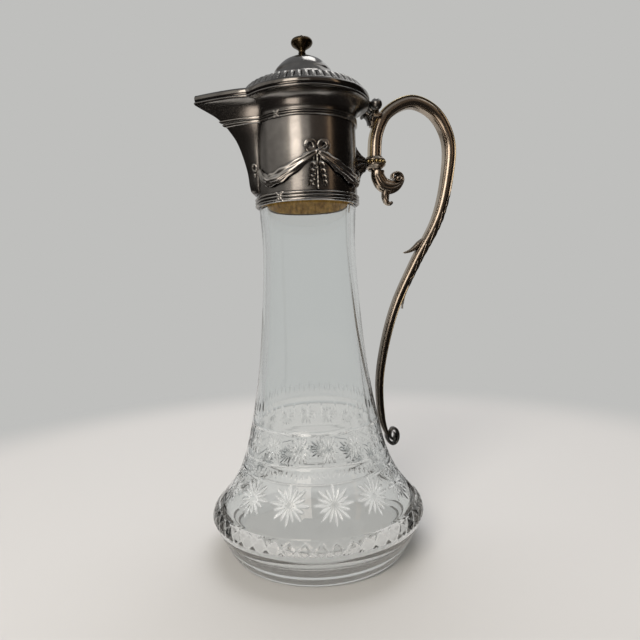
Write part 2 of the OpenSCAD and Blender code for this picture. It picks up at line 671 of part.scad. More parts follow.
// Saddle on the handle's limb with the two outer knuckles of the hinge
knuckle_side = (barrel_l - knuckle_l) / 2 - knuckle_gap;
saddle_low = hinge_z - 10.6;
module saddle_neck(d) {
    hull() {
        translate([hinge_x - 1 - d, -4 - d, hinge_z - barrel_d / 2 - 2.2])
            cube([5.4 + d, 8 + 2 * d, 1 + d]);
        translate([limb_x - 2.4 - d, -2.6 - d, saddle_low - d]) cube([5 + d, 5.2 + 2 * d, 1 + d]);
    }
}
module hinge_saddle() {
    color("#96908a")
    difference() {
        union() {
            for (s = [-1, 1]) translate([hinge_x, s * (barrel_l - knuckle_side) / 2, hinge_z])
                rotate([90, 0, 0]) cylinder(d = barrel_d, h = knuckle_side, center = true);
            for (s = [-1, 1]) translate([hinge_x - 0.4, s * (barrel_l - knuckle_side) / 2
                - knuckle_side / 2, hinge_z - barrel_d / 2 - 1.6])
                cube([barrel_d / 2 + 0.2, knuckle_side, barrel_d / 2 + 1.6]);
            translate([hinge_x - 1.4, -barrel_l / 2, hinge_z - barrel_d / 2 - 2.6])
                cube([6.2, barrel_l, 1.8]);
            saddle_neck(0);
        }
        rotate([90, 0, 0]) translate([hinge_x, hinge_z, 0])
            cylinder(d = pin_d, h = 3 * barrel_l, center = true);
        translate([hinge_x, 0, hinge_z]) rotate([90, 0, 0])
            cylinder(d = barrel_d + 0.8, h = knuckle_l + 2 * knuckle_gap, center = true);
        limb_solid();
    }
}

module hinge_pin() {
    color("#8c8c8c") translate([hinge_x, 0, hinge_z]) rotate([90, 0, 0])
        cylinder(d = pin_d, h = barrel_l + ball_d * 0.8, center = true);
}

module hinge_ball(side) {
    translate([hinge_x, 0, hinge_z]) rotate([-90 * side, 0, 0]) difference() {
        translate([0, 0, barrel_l / 2 + ball_d * 0.3]) sphere(d = ball_d);
        cylinder(d = 2 * ball_d, h = barrel_l / 2 + seam);
        cylinder(d = pin_d, h = barrel_l / 2 + ball_d * 0.4);
    }
}
module hinge_ball_near() {
    color("#8f8a80") hinge_ball(-1);
}
module hinge_ball_far() {
    color("#8f8a80") hinge_ball(1);
}

// The lid and all that swings with it
module swung() {
    translate([hinge_x, 0, hinge_z]) rotate([0, lid_open, 0]) translate([-hinge_x, 0, -hinge_z])
        children();
}

leaf_x = lid_r + 0.05;
leaf_top = lid_top + 2.2;
module lid_hinge_leaf() {
    color("#4a4b4e") swung()
    difference() {
        union() {
            translate([hinge_x, 0, hinge_z]) rotate([90, 0, 0])
                cylinder(d = barrel_d, h = knuckle_l, center = true);
            hull() {
                translate([leaf_x + 0.1, -knuckle_l / 2, hinge_z + 0.4])
                    cube([0.4, knuckle_l, leaf_top - hinge_z - 1.2]);
                translate([hinge_x, -knuckle_l / 2, hinge_z]) cube([1, knuckle_l, barrel_d / 2]);
            }
            hull() {
                translate([lid_r - 1.4, -5.5, lid_top + seam]) cube([1, 11, 0.6]);
                translate([leaf_x + 0.1, -knuckle_l / 2, lid_top - 0.6])
                    cube([0.6, knuckle_l, leaf_top - lid_top]);
            }
        }
        rotate([90, 0, 0]) translate([hinge_x, hinge_z, 0])
            cylinder(d = pin_d + 2 * pin_fit, h = 3 * barrel_l, center = true);
        border_solid(seam);
        difference() {
            cylinder(r = lid_r + seam, h = lid_top + seam);
            cylinder(r = lid_r - 8, h = 2 * lid_top);
        }
    }
}

// Flat sheet of the lid, with the opening that the dome stands over
dome_foot_r = lid_r - 5;
module lid_plate() {
    m = mouth(lid_r);
    inset = [for (i = [0:len(m) - 1]) m[i] - mouth_normal(m, i) * (sheet_t + seam)];
    color("#5f6165") swung()
    translate([0, 0, lid_top - sheet_t - 0.1]) difference() {
        linear_extrude(sheet_t) polygon(inset);
        translate([0, 0, -1]) cylinder(r = dome_foot_r - sheet_t - 1, h = sheet_t + 2);
    }
}

// Plain convex band round the edge of the lid and its point
crown_low = 50;
crown_high = 68;
crown_in = 0.9;
module lid_rim() {
    crown = [for (k = [0:5]) let (a = lerp(-crown_low, crown_high, k / 5))
        [-crown_in * (1 - cos(a)), lerp(lid_z, lid_top,
            (sin(a) + sin(crown_low)) / (sin(crown_high) + sin(crown_low)))]];
    color("#6b6d70") swung()
    skin(mouth_rings(lid_r, concat([[-sheet_t, lid_z]], crown, [[-sheet_t, lid_top]])), closed = true);
}

// Short collar under the lid that centres it in the mouth; it is open towards the spout
bezel_fit = 0.5;
bezel_r = rim_r - wire_in - wire_d / 2 - bezel_fit;
bezel_low = lid_z - 1.4;
module lid_bezel() {
    color("#77787a") swung()
    rotate([0, 0, -135]) rotate_extrude(angle = 270)
        translate([bezel_r - sheet_t, bezel_low])
        square([sheet_t, lid_top - sheet_t - 0.1 - seam - bezel_low]);
}

// Gadrooned border: a convex ring whose surface swells in lobes
border_ro = lid_r - 0.8;
border_ri = border_ro - border_w;
// Profile of the border, t from its outer edge to its inner edge
border_flat = 0.33;
function border_line(t) = [border_ri + border_w * lerp(1 - sin(90 * t), cos(90 * t), border_flat),
    lid_top + seam + border_h * sin(90 * t)];
border_out = unit([border_h, border_w]);
// Depth of the hollows between the gadroons
lobe_deep = 1.1;
module border_solid(d) {
    rotate_extrude() polygon(concat([[border_ri - d, lid_top], [border_ro + d, lid_top]],
        [for (k = [0:8]) let (p = border_line(k / 8)) [p[0] + d, p[1] + d]],
        [[border_ri - d, lid_top + border_h]]));
}
module lid_border() {
    steps = gadroons * 4;
    under = [[border_ri - 0.3, lid_top + border_h - 0.9], [dome_foot_r + seam, lid_top + seam]];
    color("#7b7c7e") swung()
    skin([for (i = [0:steps - 1]) let (
        a = 360 * i / steps,
        lobe = lobe_deep / 2 * (cos(360 * i / 4 + 180) - 1))
        [for (p = reversed(concat([for (t = [0.02, 0.25, 0.55, 1]) let (q = border_line(t))
            q + border_out * lobe * sin(180 * min(t + 0.02, 0.9))], under)))
            [p[0] * cos(a), p[0] * sin(a), p[1]]]], closed = true);
}

// Domed top of the lid, raised from sheet: a cone under the border, a wide cove and a dome
dome_base = lid_top + seam;
dome_top = lid_top + border_h + dome_h - 0.1;
cove = [[dome_foot_r, dome_base], [border_ri - 0.35, lid_top + border_h - 1],
    [border_ri - 0.35, lid_top + border_h]];
dome_side = spline([cove[2], [lerp(border_ri, dome_r, 0.4), cove[2][1] + 1.9],
    [dome_r + 3.6, cove[2][1] + dome_h * 0.23], [dome_r + 0.9, cove[2][1] + dome_h * 0.4],
    [dome_r - 0.3, cove[2][1] + dome_h * 0.555], [dome_r * 0.72, dome_top - 4.3],
    [dome_r * 0.4, dome_top - 1.4], [3.4, dome_top]], 3);
stud_d = 3.2;
module lid_dome() {
    inner = [for (i = [0:len(dome_side) - 1]) let (
        n = len(dome_side) - 1,
        t = unit(dome_side[min(i + 1, n)] - dome_side[max(i - 1, 0)]))
        dome_side[i] - [t[1], -t[0]] * sheet_t];
    low = [[dome_foot_r - sheet_t * 1.4, dome_base], [border_ri - 0.35 - sheet_t, cove[1][1] - 0.4]];
    color("#66686c") swung()
    rotate_extrude() polygon(concat([cove[0], cove[1]], dome_side,
        [[stud_d / 2 + seam, dome_top], [stud_d / 2 + seam, dome_top - sheet_t * 1.2]],
        reversed(inner), reversed(low)));
}

// Turned finial on a stud, held by a nut inside the dome
nut_t = 2.4;
finial_z = dome_top + seam;
module finial() {
    k = knob_d / 2;
    h = finial_h;
    side = spline([[3.4, 0], [2.4, h * 0.1], [2, h * 0.2], [2.5, h * 0.31], [k * 0.66, h * 0.41],
        [k * 0.9, h * 0.51], [k, h * 0.63], [k * 0.9, h * 0.76], [k * 0.56, h * 0.84],
        [k * 0.26, h * 0.89], [0.9, h * 0.94], [0.6, h * 0.99]], 3);
    color("#3f3a34") swung()
    translate([0, 0, finial_z]) union() {
        rotate_extrude() polygon(concat([[0, 0]], side, [[0, h]]));
        translate([0, 0, -nut_t - sheet_t * 1.2 - 1]) cylinder(d = stud_d, h = nut_t + sheet_t * 1.2 + 2);
    }
}

module finial_nut() {
    color("#9a9078") swung()
    translate([0, 0, dome_top - sheet_t * 1.2 - seam - nut_t]) difference() {
        cylinder(d = 6.4, h = nut_t, $fn = 6);
        translate([0, 0, -1]) cylinder(d = stud_d, h = nut_t + 2);
    }
}

glass_body();
neck_cement();
collar_sleeve();
mouth_wire();
lower_band();
upper_band();
spout();
spout_moulding();
swags_near();
swags_far();
bow_near();
bow_far();
husk_drops_near();
husk_drops_far();
ribbon_rod_near();
ribbon_rod_far();
spout_knot_near();
spout_knot_far();
handle_bracket();
handle_ring();
handle_loop();
handle_leaf();
handle_thorn();
handle_volute();
handle_drop_scroll();
hinge_strap();
hinge_saddle();
hinge_pin();
hinge_ball_near();
hinge_ball_far();
lid_hinge_leaf();
lid_plate();
lid_rim();
lid_bezel();
lid_border();
lid_dome();
finial();
finial_nut();
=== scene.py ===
# Claret jug in a plated mount: a cut-glass body, a spouted collar with a hinged lid and a loop handle.
# Sizes are in millimetres and places come from the frame; a mesh is put into metres as it is made.
# The axis of the jug is Z, its spout points along -X and its handle along +X.
import math
import bpy
import numpy as np
from mathutils import Matrix, Vector


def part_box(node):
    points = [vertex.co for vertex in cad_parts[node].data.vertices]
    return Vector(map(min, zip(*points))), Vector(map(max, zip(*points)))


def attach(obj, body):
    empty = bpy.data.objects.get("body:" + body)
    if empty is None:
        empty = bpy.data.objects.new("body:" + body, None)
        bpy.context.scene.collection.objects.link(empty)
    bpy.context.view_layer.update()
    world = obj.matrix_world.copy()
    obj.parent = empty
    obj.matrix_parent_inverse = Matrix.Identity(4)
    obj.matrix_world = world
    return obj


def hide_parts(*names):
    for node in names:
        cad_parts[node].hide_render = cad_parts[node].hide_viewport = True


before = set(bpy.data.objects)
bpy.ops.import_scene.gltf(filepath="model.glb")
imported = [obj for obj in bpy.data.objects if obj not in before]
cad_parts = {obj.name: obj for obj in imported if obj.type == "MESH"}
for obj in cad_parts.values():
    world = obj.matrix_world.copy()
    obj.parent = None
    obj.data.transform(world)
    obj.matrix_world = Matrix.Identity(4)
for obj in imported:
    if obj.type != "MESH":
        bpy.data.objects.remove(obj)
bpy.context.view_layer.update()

# Glass body: lead crystal blown into a mould, with a heavy floor and a plain neck, then cut on stone
# wheels: crossed diamonds on the shoulder, then large stars, slanting dashes and small stars in rows
# between turned lines, and a fringe of leaf-shaped cuts where the neck begins.
METRE = 0.001


def box_of(node):
    """Lowest and highest corner of a node, in millimetres."""
    return [np.array(corner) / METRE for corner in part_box(node)]


def smooth_line(points, steps):
    """Catmull-Rom curve through control points: each span is the cubic whose slope at a point is half
    the chord between that point's neighbours."""
    p = np.asarray(points, float)
    p = np.vstack([p[:1], p, p[-1:]])
    a, b, c, d = (p[k:len(p) - 3 + k, None] for k in range(4))
    t = np.linspace(0, 1, steps, endpoint=False)[None, :, None]
    spans = 0.5 * (2 * b + (c - a) * t + (2 * a - 5 * b + 4 * c - d) * t**2
                   + (3 * b - a - 3 * c + d) * t**3)
    return np.vstack([spans.reshape(-1, p.shape[1]), p[-1:]])


def run(line):
    """Length of a line up to each of its points."""
    return np.concatenate([[0], np.cumsum(np.linalg.norm(np.diff(line, axis=0), axis=1))])


def spaced(line, count):
    """The same line, as a number of points that lie at equal steps along it."""
    at = np.linspace(0, run(line)[-1], count)
    return np.stack([np.interp(at, run(line), column) for column in line.T], 1)


def direction(line, closed=False):
    """Direction of a line at each of its points, from the points on either side of it."""
    way = np.roll(line, -1, 0) - np.roll(line, 1, 0) if closed else np.gradient(line, axis=0)
    return way / np.linalg.norm(way, axis=1, keepdims=True)


def outward(points, faces):
    """Turns the faces of a closed surface outwards: its volume, the sum of the pyramids between the
    origin and each face, has to come out above zero."""
    volume = sum((points[f[:, 0]] * np.cross(points[f[:, k]], points[f[:, k + 1]])).sum()
                 for f in faces for k in range(1, f.shape[1] - 1))
    return points, faces if volume > 0 else [f[:, ::-1] for f in faces]


def quads_between(low, high, wrap=True):
    """Quads from one row of point numbers to the next, round and round if wrap is true."""
    a, d = (low, high) if wrap else (low[:, :-1], high[:, :-1])
    b, c = (np.roll(low, -1, 1), np.roll(high, -1, 1)) if wrap else (low[:, 1:], high[:, 1:])
    return np.stack([a, b, c, d], -1).reshape(-1, 4)


def around(count):
    """Angles at equal steps round a circle."""
    return np.linspace(0, 2 * np.pi, count, endpoint=False)


def grid(x, y, z):
    """Grid of points from their coordinates, each spread over the rows and columns of the others."""
    return np.stack(np.broadcast_arrays(x, y, z), -1)


def polar(r, a, z):
    """Grid of points at a radius and an angle round the axis, and a height."""
    return grid(r * np.cos(a), r * np.sin(a), z)


def turned(profile, columns):
    """Rings of a turned shape: each point (radius, height) of the profile goes round the axis."""
    r, z = np.asarray(profile, float).T[:, :, None]
    return polar(r, around(columns), z)


def linear(code):
    """Linear colour of an sRGB hex code: each channel s becomes ((s + 0.055) / 1.055) to the power 2.4,
    or s / 12.92 where it is near black."""
    s = np.array([int(code[k:k + 2], 16) for k in (1, 3, 5)]) / 255
    return (*np.where(s <= 0.04045, s / 12.92, ((s + 0.055) / 1.055) ** 2.4), 1.0)


def add(tree, kind, inputs=None, **settings):
    """Adds a shader node to a tree, with its settings. Each input is set to a value, or linked to a
    socket or to the first output in use of a node."""
    made = tree.nodes.new("ShaderNode" + kind)
    for key, value in settings.items():
        setattr(made, key, value)
    for key, value in (inputs or {}).items():
        if isinstance(value, bpy.types.Node):
            value = next(socket for socket in value.outputs if socket.enabled)
        if isinstance(value, bpy.types.NodeSocket):
            tree.links.new(value, made.inputs[key])
        else:
            made.inputs[key].default_value = value
    return made


def new_material(name):
    """An empty material; gives the material, its tree and the place on the object as a socket."""
    material = bpy.data.materials.new(name)
    material.use_nodes = True
    material.node_tree.nodes.clear()
    return material, material.node_tree, add(material.node_tree, "TexCoord").outputs["Object"]


def piece(name, surface, material, slot, *nodes, body="jug", crease=38, worked=None):
    """Object of a closed surface that rides on a body and stands for nodes. Edges sharper than the
    crease, in degrees, stay sharp, and the rest is shaded smooth. Its first points may be marked by how
    far they are worked, from 0 to 1: rubbed bare on the metal, ground by the wheel on the glass."""
    points, faces = surface
    mesh = bpy.data.meshes.new(name)
    mesh.from_pydata((points * METRE).tolist(), [], [c for f in faces for c in f.tolist()])
    mesh.shade_smooth()
    mesh.set_sharp_from_angle(angle=math.radians(crease))
    mesh.materials.append(material)
    if worked is not None:
        share = np.zeros(len(points), np.float32)
        share[:worked.size] = worked.ravel()
        mesh.attributes.new("worked", "FLOAT", "POINT").data.foreach_set("value", share)
    made = bpy.data.objects.new(name, mesh)
    bpy.context.scene.collection.objects.link(made)
    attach(made, body)
    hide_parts(*nodes)


glass_low, glass_high = box_of("glass_body")
mount_z = box_of("collar_sleeve")[0][2]
belly_r, belly_z = (glass_high[0] - glass_low[0]) / 2, 22.5
foot_r, waist_r, waist_z, neck_r = 51.5, 27.2, 176, 28.2
neck_step, glass_wall, floor_t = 1.2, 3.6, 9
# Shares of the height and of the flare from the widest point up to the waist
flare_shares = np.array([[0, 1], [0.025, 0.96], [0.055, 0.85], [0.1, 0.69], [0.165, 0.53], [0.25, 0.395],
                         [0.39, 0.262], [0.55, 0.15], [0.75, 0.06], [1, 0]])


def flared(r_low, z_low, r_high, z_high):
    """Profile of a flare, drawn from its shares between its wide end and its narrow end."""
    height, spread = flare_shares.T
    return np.stack([r_high + (r_low - r_high) * spread, z_low + (z_high - z_low) * height], 1)


glass_side = smooth_line(np.vstack([flared(belly_r, belly_z, waist_r, waist_z), [neck_r, mount_z - 1]]), 24)


def glass_r(z):
    """Radius of the glass at a height above its widest point."""
    return np.interp(z, glass_side[:, 1], glass_side[:, 0])


# Each cut is a groove with sloping walls: half its width less the distance to its middle line, times
# the slope of the wheel's edge
WHEEL_SLOPE = 0.5


def groove(distance, width, slope=WHEEL_SLOPE):
    """Depth of a mitre cut at a distance from its middle line."""
    return slope * np.maximum(0, width / 2 - np.abs(distance))


def leaf(share):
    """Outline of a cut that the wheel enters and leaves: widest past its middle, pointed at its ends."""
    s = np.clip(share, 0, 1)
    return np.sin(np.pi * s ** 1.15) ** 0.65


def star(u, v, rays, inner, reach, width):
    """Depth of a star of leaf-shaped cuts about the middle of its field, from the place across (u) and
    up (v). The distance to the nearest ray is the place's own distance times the sine of the angle
    between them, and every other ray is shorter."""
    rho = np.hypot(u, v)
    turn = np.arctan2(v, u) * rays / (2 * np.pi)
    off = (turn - np.round(turn)) * 2 * np.pi / rays
    length = np.where(np.round(turn) % 2 == 0, reach, reach * 0.82)
    return groove(rho * np.sin(off), width * leaf((rho - inner) / (length - inner))) * (rho > inner)


def repeated(angle, count, z_mid, z, along, first=0.0):
    """Place across and up from the middle of the nearest of a number of fields round the glass."""
    share = (angle - first) * count / (2 * np.pi)
    across = (share - np.round(share)) * 2 * np.pi / count * glass_r(z)
    return across, along - np.interp(z_mid, z[:, 0], along[:, 0])


line_low_z, line_star_z, line_dash_z, line_small_z, line_top_z = 29.2, 51.6, 59.7, 76.8, 82.2
line_w = 0.9
stars, star_z, star_reach, star_rays, star_w = 13, 42.3, 11.6, 16, 2.2
small_stars, small_z, small_reach, small_rays, small_w = 16, 68.4, 7.2, 12, 1.4
diamonds, diamond_w, diamond_slope = 48, 1.7, 0.32
dashes, dash_z, dash_l, dash_w, dash_lean = 96, 55.4, 3.4, 1.1, 0.55
fringes, fringe_z, fringe_l, fringe_w, fringe_slope = 60, 88.5, 8.5, 1.5, 0.25
first_star = math.radians(-92.2)


def cut_depth(angle, z, along):
    """Depth of the deepest of all the cuts at an angle round the glass and a height; along is the length
    of the profile up to that height."""
    cuts = [groove(along - np.interp(at, z[:, 0], along[:, 0]), line_w)
            for at in (line_low_z, line_star_z, line_dash_z, line_small_z, line_top_z)]
    u, v = repeated(angle, stars, star_z, z, along, first_star)
    cuts += [star(u, v, star_rays, 0.1, star_reach, star_w) * (np.abs(z - star_z) < star_reach + 1)]
    u, v = repeated(angle, small_stars, small_z, z, along, first_star)
    cuts += [star(u, v, small_rays, 0.4, small_reach, small_w) * (z > line_dash_z + 0.6)
             * (z < line_small_z - 0.4)]
    low, high = (np.interp(at, z[:, 0], along[:, 0]) for at in (belly_z - 2, line_low_z - 0.7))
    rise = (along - low) / (high - low)
    turn = angle * diamonds / (2 * np.pi)
    wide = 2 * np.pi * belly_r / diamonds
    lean = wide / math.hypot(wide, high - low) * (high - low)
    for way in (-1, 1):
        share = turn + way * (rise - 0.5)
        cuts += [groove((share - np.round(share)) * lean, diamond_w, diamond_slope) * (rise > 0) * (rise < 1)]
    u, v = repeated(angle, dashes, dash_z, z, along)
    side = np.where(np.round(angle * dashes / (2 * np.pi)) % 8 < 4, 1, -1)
    cuts += [groove(u - side * dash_lean * v, dash_w * leaf(v / dash_l + 0.5))]
    u, v = repeated(angle, fringes, fringe_z, z, along)
    short = np.where(np.round(angle * fringes / (2 * np.pi)) % 2 == 0, 1.0, 0.6)
    return np.max(cuts + [groove(u, fringe_w * leaf((v / fringe_l + 0.5) / short), fringe_slope)], axis=0)


fine_columns, coarse_columns = 676, 169
# Three turned rings from the foot up to the shoulder: where they meet, as shares of height and spread
ring_heights, ring_spreads = np.array([[0, 0], [0.27, 0.31], [0.55, 0.53], [0.88, 0.89]]).T
ring_at, ring_bulge = np.arange(24) / 8, 0.8
foot_side = np.stack([foot_r + (belly_r - foot_r) * np.interp(ring_at, range(4), ring_spreads)
                      + ring_bulge * np.sin(np.pi * (ring_at % 1)),
                      belly_z * np.interp(ring_at, range(4), ring_heights)], 1)
shoulder = [foot_r + (belly_r - foot_r) * ring_spreads[-1], belly_z * ring_heights[-1]]
cut_top, dense_top, dense_rows, sparse_rows = 98, 56, 76, 42
below = np.vstack([[[2, 0], [20, 0], [foot_r - 1.2, 0], [foot_r - 0.3, 0.15]], foot_side[1:]])
cut_side = np.vstack([[shoulder], glass_side[glass_side[:, 1] < cut_top]])
cut_rows = np.vstack([spaced(cut_side[cut_side[:, 1] < dense_top], dense_rows)[:-1],
                      spaced(cut_side[cut_side[:, 1] > dense_top - 0.5], sparse_rows)])
above = spaced(glass_side[glass_side[:, 1] > cut_top + 0.6], 24)
neck_in_r, neck_top = neck_r - neck_step, glass_high[2]
bore = neck_in_r - glass_wall + 0.4
inside = smooth_line(np.vstack([
    [[2, floor_t], [belly_r * 0.6, floor_t + 0.4], [belly_r - 13, floor_t + 3.5], [belly_r - 8, belly_z - 3]],
    flared(belly_r - 7, belly_z + 3, waist_r - glass_wall, waist_z),
    [[bore, mount_z], [bore, neck_top]]]), 3)
upper = np.vstack([above, [[neck_r, mount_z + 0.4], [neck_in_r, mount_z + 0.5],
                           [neck_in_r, neck_top - 0.6], [neck_in_r - 0.6, neck_top]], inside[::-1]])
fine = turned(cut_rows, fine_columns)
angles, heights = np.arctan2(fine[..., 1], fine[..., 0]), fine[..., 2].copy()
depths = cut_depth(angles, heights, np.broadcast_to(run(cut_rows)[:, None], angles.shape))
depths[0] = 0
slope = direction(cut_rows)
inward = depths * slope[:, 1, None]
fine -= grid(inward * np.cos(angles), inward * np.sin(angles), -depths * slope[:, 0, None])


def stitched(fine_row, coarse_row):
    """Triangles between a row of point numbers and one with a quarter as many."""
    f = fine_row.reshape(-1, 4)
    f = np.concatenate([f, np.roll(f[:, :1], -1, 0)], 1)
    c, d = coarse_row, np.roll(coarse_row, -1)
    return np.concatenate([np.stack(s, 1) for s in (
        (f[:, 1], f[:, 0], c), (f[:, 2], f[:, 1], c), (c, d, f[:, 2]), (f[:, 3], f[:, 2], d),
        (f[:, 4], f[:, 3], d))])


def glass_surface():
    """The foot and the upper part on coarse rings, the cut part between them on fine ones."""
    low, high = turned(below, coarse_columns), turned(upper, coarse_columns)
    counts = [len(below) * coarse_columns, len(cut_rows) * fine_columns, len(upper) * coarse_columns]
    a, b, c = np.split(np.arange(sum(counts)), np.cumsum(counts)[:-1])
    a, b, c = a.reshape(-1, coarse_columns), b.reshape(-1, fine_columns), c.reshape(-1, coarse_columns)
    n, total = coarse_columns, sum(counts)
    faces = [quads_between(rows[:-1], rows[1:]) for rows in (a, b, c)]
    faces += [stitched(b[0], a[-1]), stitched(b[-1], c[0])[:, ::-1],
              np.stack([np.roll(a[0], -1), a[0], np.full(n, total)], 1),
              np.stack([c[-1], np.roll(c[-1], -1), np.full(n, total + 1)], 1)]
    points = np.vstack([low.reshape(-1, 3), fine.reshape(-1, 3), high.reshape(-1, 3),
                        [[0, 0, 0], [0, 0, floor_t]]])
    return outward(points, faces)


def lead_crystal():
    """Lead crystal, fire-polished inside and felt-polished in its cuts: clear, hardly any colour, with
    a high index that makes the cuts flash. A breath of haze and faint wipe marks stay on it."""
    material, tree, place = new_material("lead_crystal")
    # Wipe marks about 12 mm apart
    wipes = add(tree, "TexNoise", {"Vector": place, "Scale": 1 / (12 * METRE), "Detail": 4.0})
    haze = add(tree, "MapRange", {"Value": wipes, "From Min": 0.35, "From Max": 0.75, "To Max": 0.035})
    # The cuts keep some of the stone's grain: they scatter a share of the light and look white
    worked = add(tree, "Attribute", attribute_name="worked").outputs["Fac"]
    clear = add(tree, "MapRange", {"Value": worked, "To Min": 1.0, "To Max": 0.62})
    rough = add(tree, "Math", {0: worked, 1: 0.12, 2: haze}, operation="MULTIPLY_ADD")
    body = add(tree, "BsdfPrincipled", {"Base Color": linear("#fbfdfd"), "Roughness": rough, "IOR": 1.53,
                                        "Transmission Weight": clear})
    add(tree, "OutputMaterial", {"Surface": body})
    return material


ground = np.clip(depths / 0.3, 0, 1) * np.where(heights < line_low_z, 0.4, 1.0)
ground = np.concatenate([np.zeros(len(below) * coarse_columns), ground.ravel()])
piece("glass", glass_surface(), lead_crystal(), "cut_glass", "glass_body", crease=24, worked=ground)

# Cement: a brown bed of resin and plaster, poured in warm, that holds the neck of the glass in the
# sleeve. It shows through the glass.
cement_low, cement_high = box_of("neck_cement")


def resin_cement():
    """Resin and plaster run in warm: a dull brown-gold, mottled by its filler, with a waxy shine and a faint
    painted glow.
    """
    material, tree, place = new_material("resin_cement")
    # Lumps of filler about 3 mm across
    lumps = add(tree, "TexNoise", {"Vector": place, "Scale": 1 / (3 * METRE), "Detail": 6.0,
                                   "Roughness": 0.65})
    shade = add(tree, "ValToRGB", {"Fac": lumps})
    for stop, at, code in zip(shade.color_ramp.elements, (0.32, 0.66), ("#8a5c1c", "#eab85c")):
        stop.position = at
        stop.color = linear(code)
    dent = add(tree, "Bump", {"Height": lumps, "Strength": 0.5, "Distance": 0.4 * METRE})
    # Painted light: the cement glows faintly in its own colour in place of the light that the real glass
    # leads up to it, since the glass casts a full shadow here
    body = add(tree, "BsdfPrincipled", {"Base Color": shade, "Roughness": 0.42, "Normal": dent,
                                        "Emission Color": shade, "Emission Strength": 0.14})
    add(tree, "OutputMaterial", {"Surface": body})
    return material


def skin(rings, closed=False):
    """Closed surface over rings of points: quads join each ring to the next, and a fan of triangles
    round its middle closes each end, unless the last ring joins the first."""
    m, n = rings.shape[:2]
    number = np.arange(m * n).reshape(m, n)
    if closed:
        return outward(rings.reshape(-1, 3), [quads_between(number, np.roll(number, -1, 0))])
    middles = rings[[0, -1]].mean(1)
    first = np.stack([np.roll(number[0], -1), number[0], np.full(n, m * n)], 1)
    last = np.stack([number[-1], np.roll(number[-1], -1), np.full(n, m * n + 1)], 1)
    return outward(np.vstack([rings.reshape(-1, 3), middles]),
                   [quads_between(number[:-1], number[1:]), first, last])


cement_ro, cement_ri = cement_high[0], neck_in_r + 0.05
cement_profile = [[cement_ri, cement_low[2]], [cement_ro, cement_low[2]], [cement_ro, cement_high[2]],
                  [cement_ri, cement_high[2]]]
piece("cement_bed", skin(turned(cement_profile, 128), closed=True), resin_cement(), "cement",
      "neck_cement")

# Collar sleeve: nickel-silver sheet, seamed into a tube, its top spun out into a flare, with a window
# sawn out where the spout is soldered on, then plated with silver that has gone grey.
rim_r, rim_z = box_of("collar_sleeve")[1][1:]
sheet_t, seam = 1.0, 0.05
flare_h, flare_out = 8.2, 8.2
sleeve_ro, flare_z = rim_r - flare_out, rim_z - flare_h


def sleeve_r(z):
    """Outer radius of the sleeve at a height: straight, then a quarter of an ellipse outwards."""
    rise = np.clip((np.asarray(z, float) - flare_z) / flare_h, 0, 1)
    return sleeve_ro + flare_out * (1 - np.sqrt(1 - rise ** 2))


def silver_plate(name, clean, grey, film=0.5, rough=0.2, recess=0.55, reach=1.6, worn=None, wear=0.0,
                 dim_below=None):
    """Silver plate on nickel silver, rubbed by hand for a century: grey where the tarnish film lies,
    near black in recesses no wider than the reach, from the tarnish there and from painted shade, bright
    on what the polishing reaches, and warm where a piece is marked as rubbed. dim_below gives the height
    below which the colour is darkest, the height above which it is not darkened, and how much of the
    colour is left at the darkest."""
    material, tree, place = new_material(name)
    # Clouds of tarnish about 14 mm across
    clouds = add(tree, "TexNoise", {"Vector": place, "Scale": 1 / (14 * METRE), "Detail": 5.0,
                                    "Roughness": 0.6})
    # Specks of corrosion under 1 mm across
    specks = add(tree, "TexNoise", {"Vector": place, "Scale": 1 / (0.9 * METRE), "Detail": 3.0,
                                    "Roughness": 0.7})
    # Polishing scratches, drawn about 0.25 mm apart so that they still show
    scratches = add(tree, "TexNoise", {"Vector": place, "Scale": 1 / (0.5 * METRE), "Detail": 6.0,
                                       "Distortion": 1.2})
    cover = add(tree, "MapRange", {"Value": clouds, "From Min": 0.3, "From Max": 0.7,
                                   "To Min": film - 0.3, "To Max": film + 0.3})
    metal = add(tree, "Mix", {"Factor": cover, "A": linear(clean), "B": linear(grey)}, data_type="RGBA")
    pits = add(tree, "MapRange", {"Value": specks, "From Min": 0.62, "From Max": 0.78, "To Min": 1.0,
                                  "To Max": 0.84})
    # Tarnish that gathers in recesses, and painted shade there: ambient occlusion darkens the colour
    recess_shade_and_tarnish = add(tree, "AmbientOcclusion", {"Distance": reach * METRE}, samples=16).outputs["AO"]
    dark = add(tree, "MapRange", {"Value": recess_shade_and_tarnish, "From Min": 0.4, "From Max": 0.95,
                                  "To Min": 1 - recess, "To Max": 1.0})
    shade = add(tree, "Math", {0: pits, 1: dark}, operation="MULTIPLY")
    if dim_below:
        low, high, left = dim_below
        height = add(tree, "SeparateXYZ", {"Vector": place}).outputs["Z"]
        dim = add(tree, "MapRange", {"Value": height, "From Min": low * METRE, "From Max": high * METRE,
                                     "To Min": left, "To Max": 1.0})
        shade = add(tree, "Math", {0: shade, 1: dim}, operation="MULTIPLY")
    colour = add(tree, "Mix", {"Factor": 1.0, "A": metal, "B": shade}, data_type="RGBA",
                 blend_type="MULTIPLY")
    if worn:
        worked = add(tree, "Attribute", attribute_name="worked").outputs["Fac"]
        uneven = add(tree, "Math", {0: worked, 1: clouds}, operation="ADD")
        bare = add(tree, "MapRange", {"Value": uneven, "From Min": 0.65, "From Max": 1.35, "To Max": wear})
        colour = add(tree, "Mix", {"Factor": bare, "A": colour, "B": linear(worn)}, data_type="RGBA")
    gloss = add(tree, "MapRange", {"Value": scratches, "From Min": 0.3, "From Max": 0.75,
                                   "To Min": rough - 0.02, "To Max": rough + 0.06})
    marks = add(tree, "Bump", {"Height": scratches, "Strength": 0.03, "Distance": 0.05 * METRE})
    body = add(tree, "BsdfPrincipled", {"Base Color": colour, "Metallic": 1.0, "Roughness": gloss,
                                        "Normal": marks})
    add(tree, "OutputMaterial", {"Surface": body})
    return material
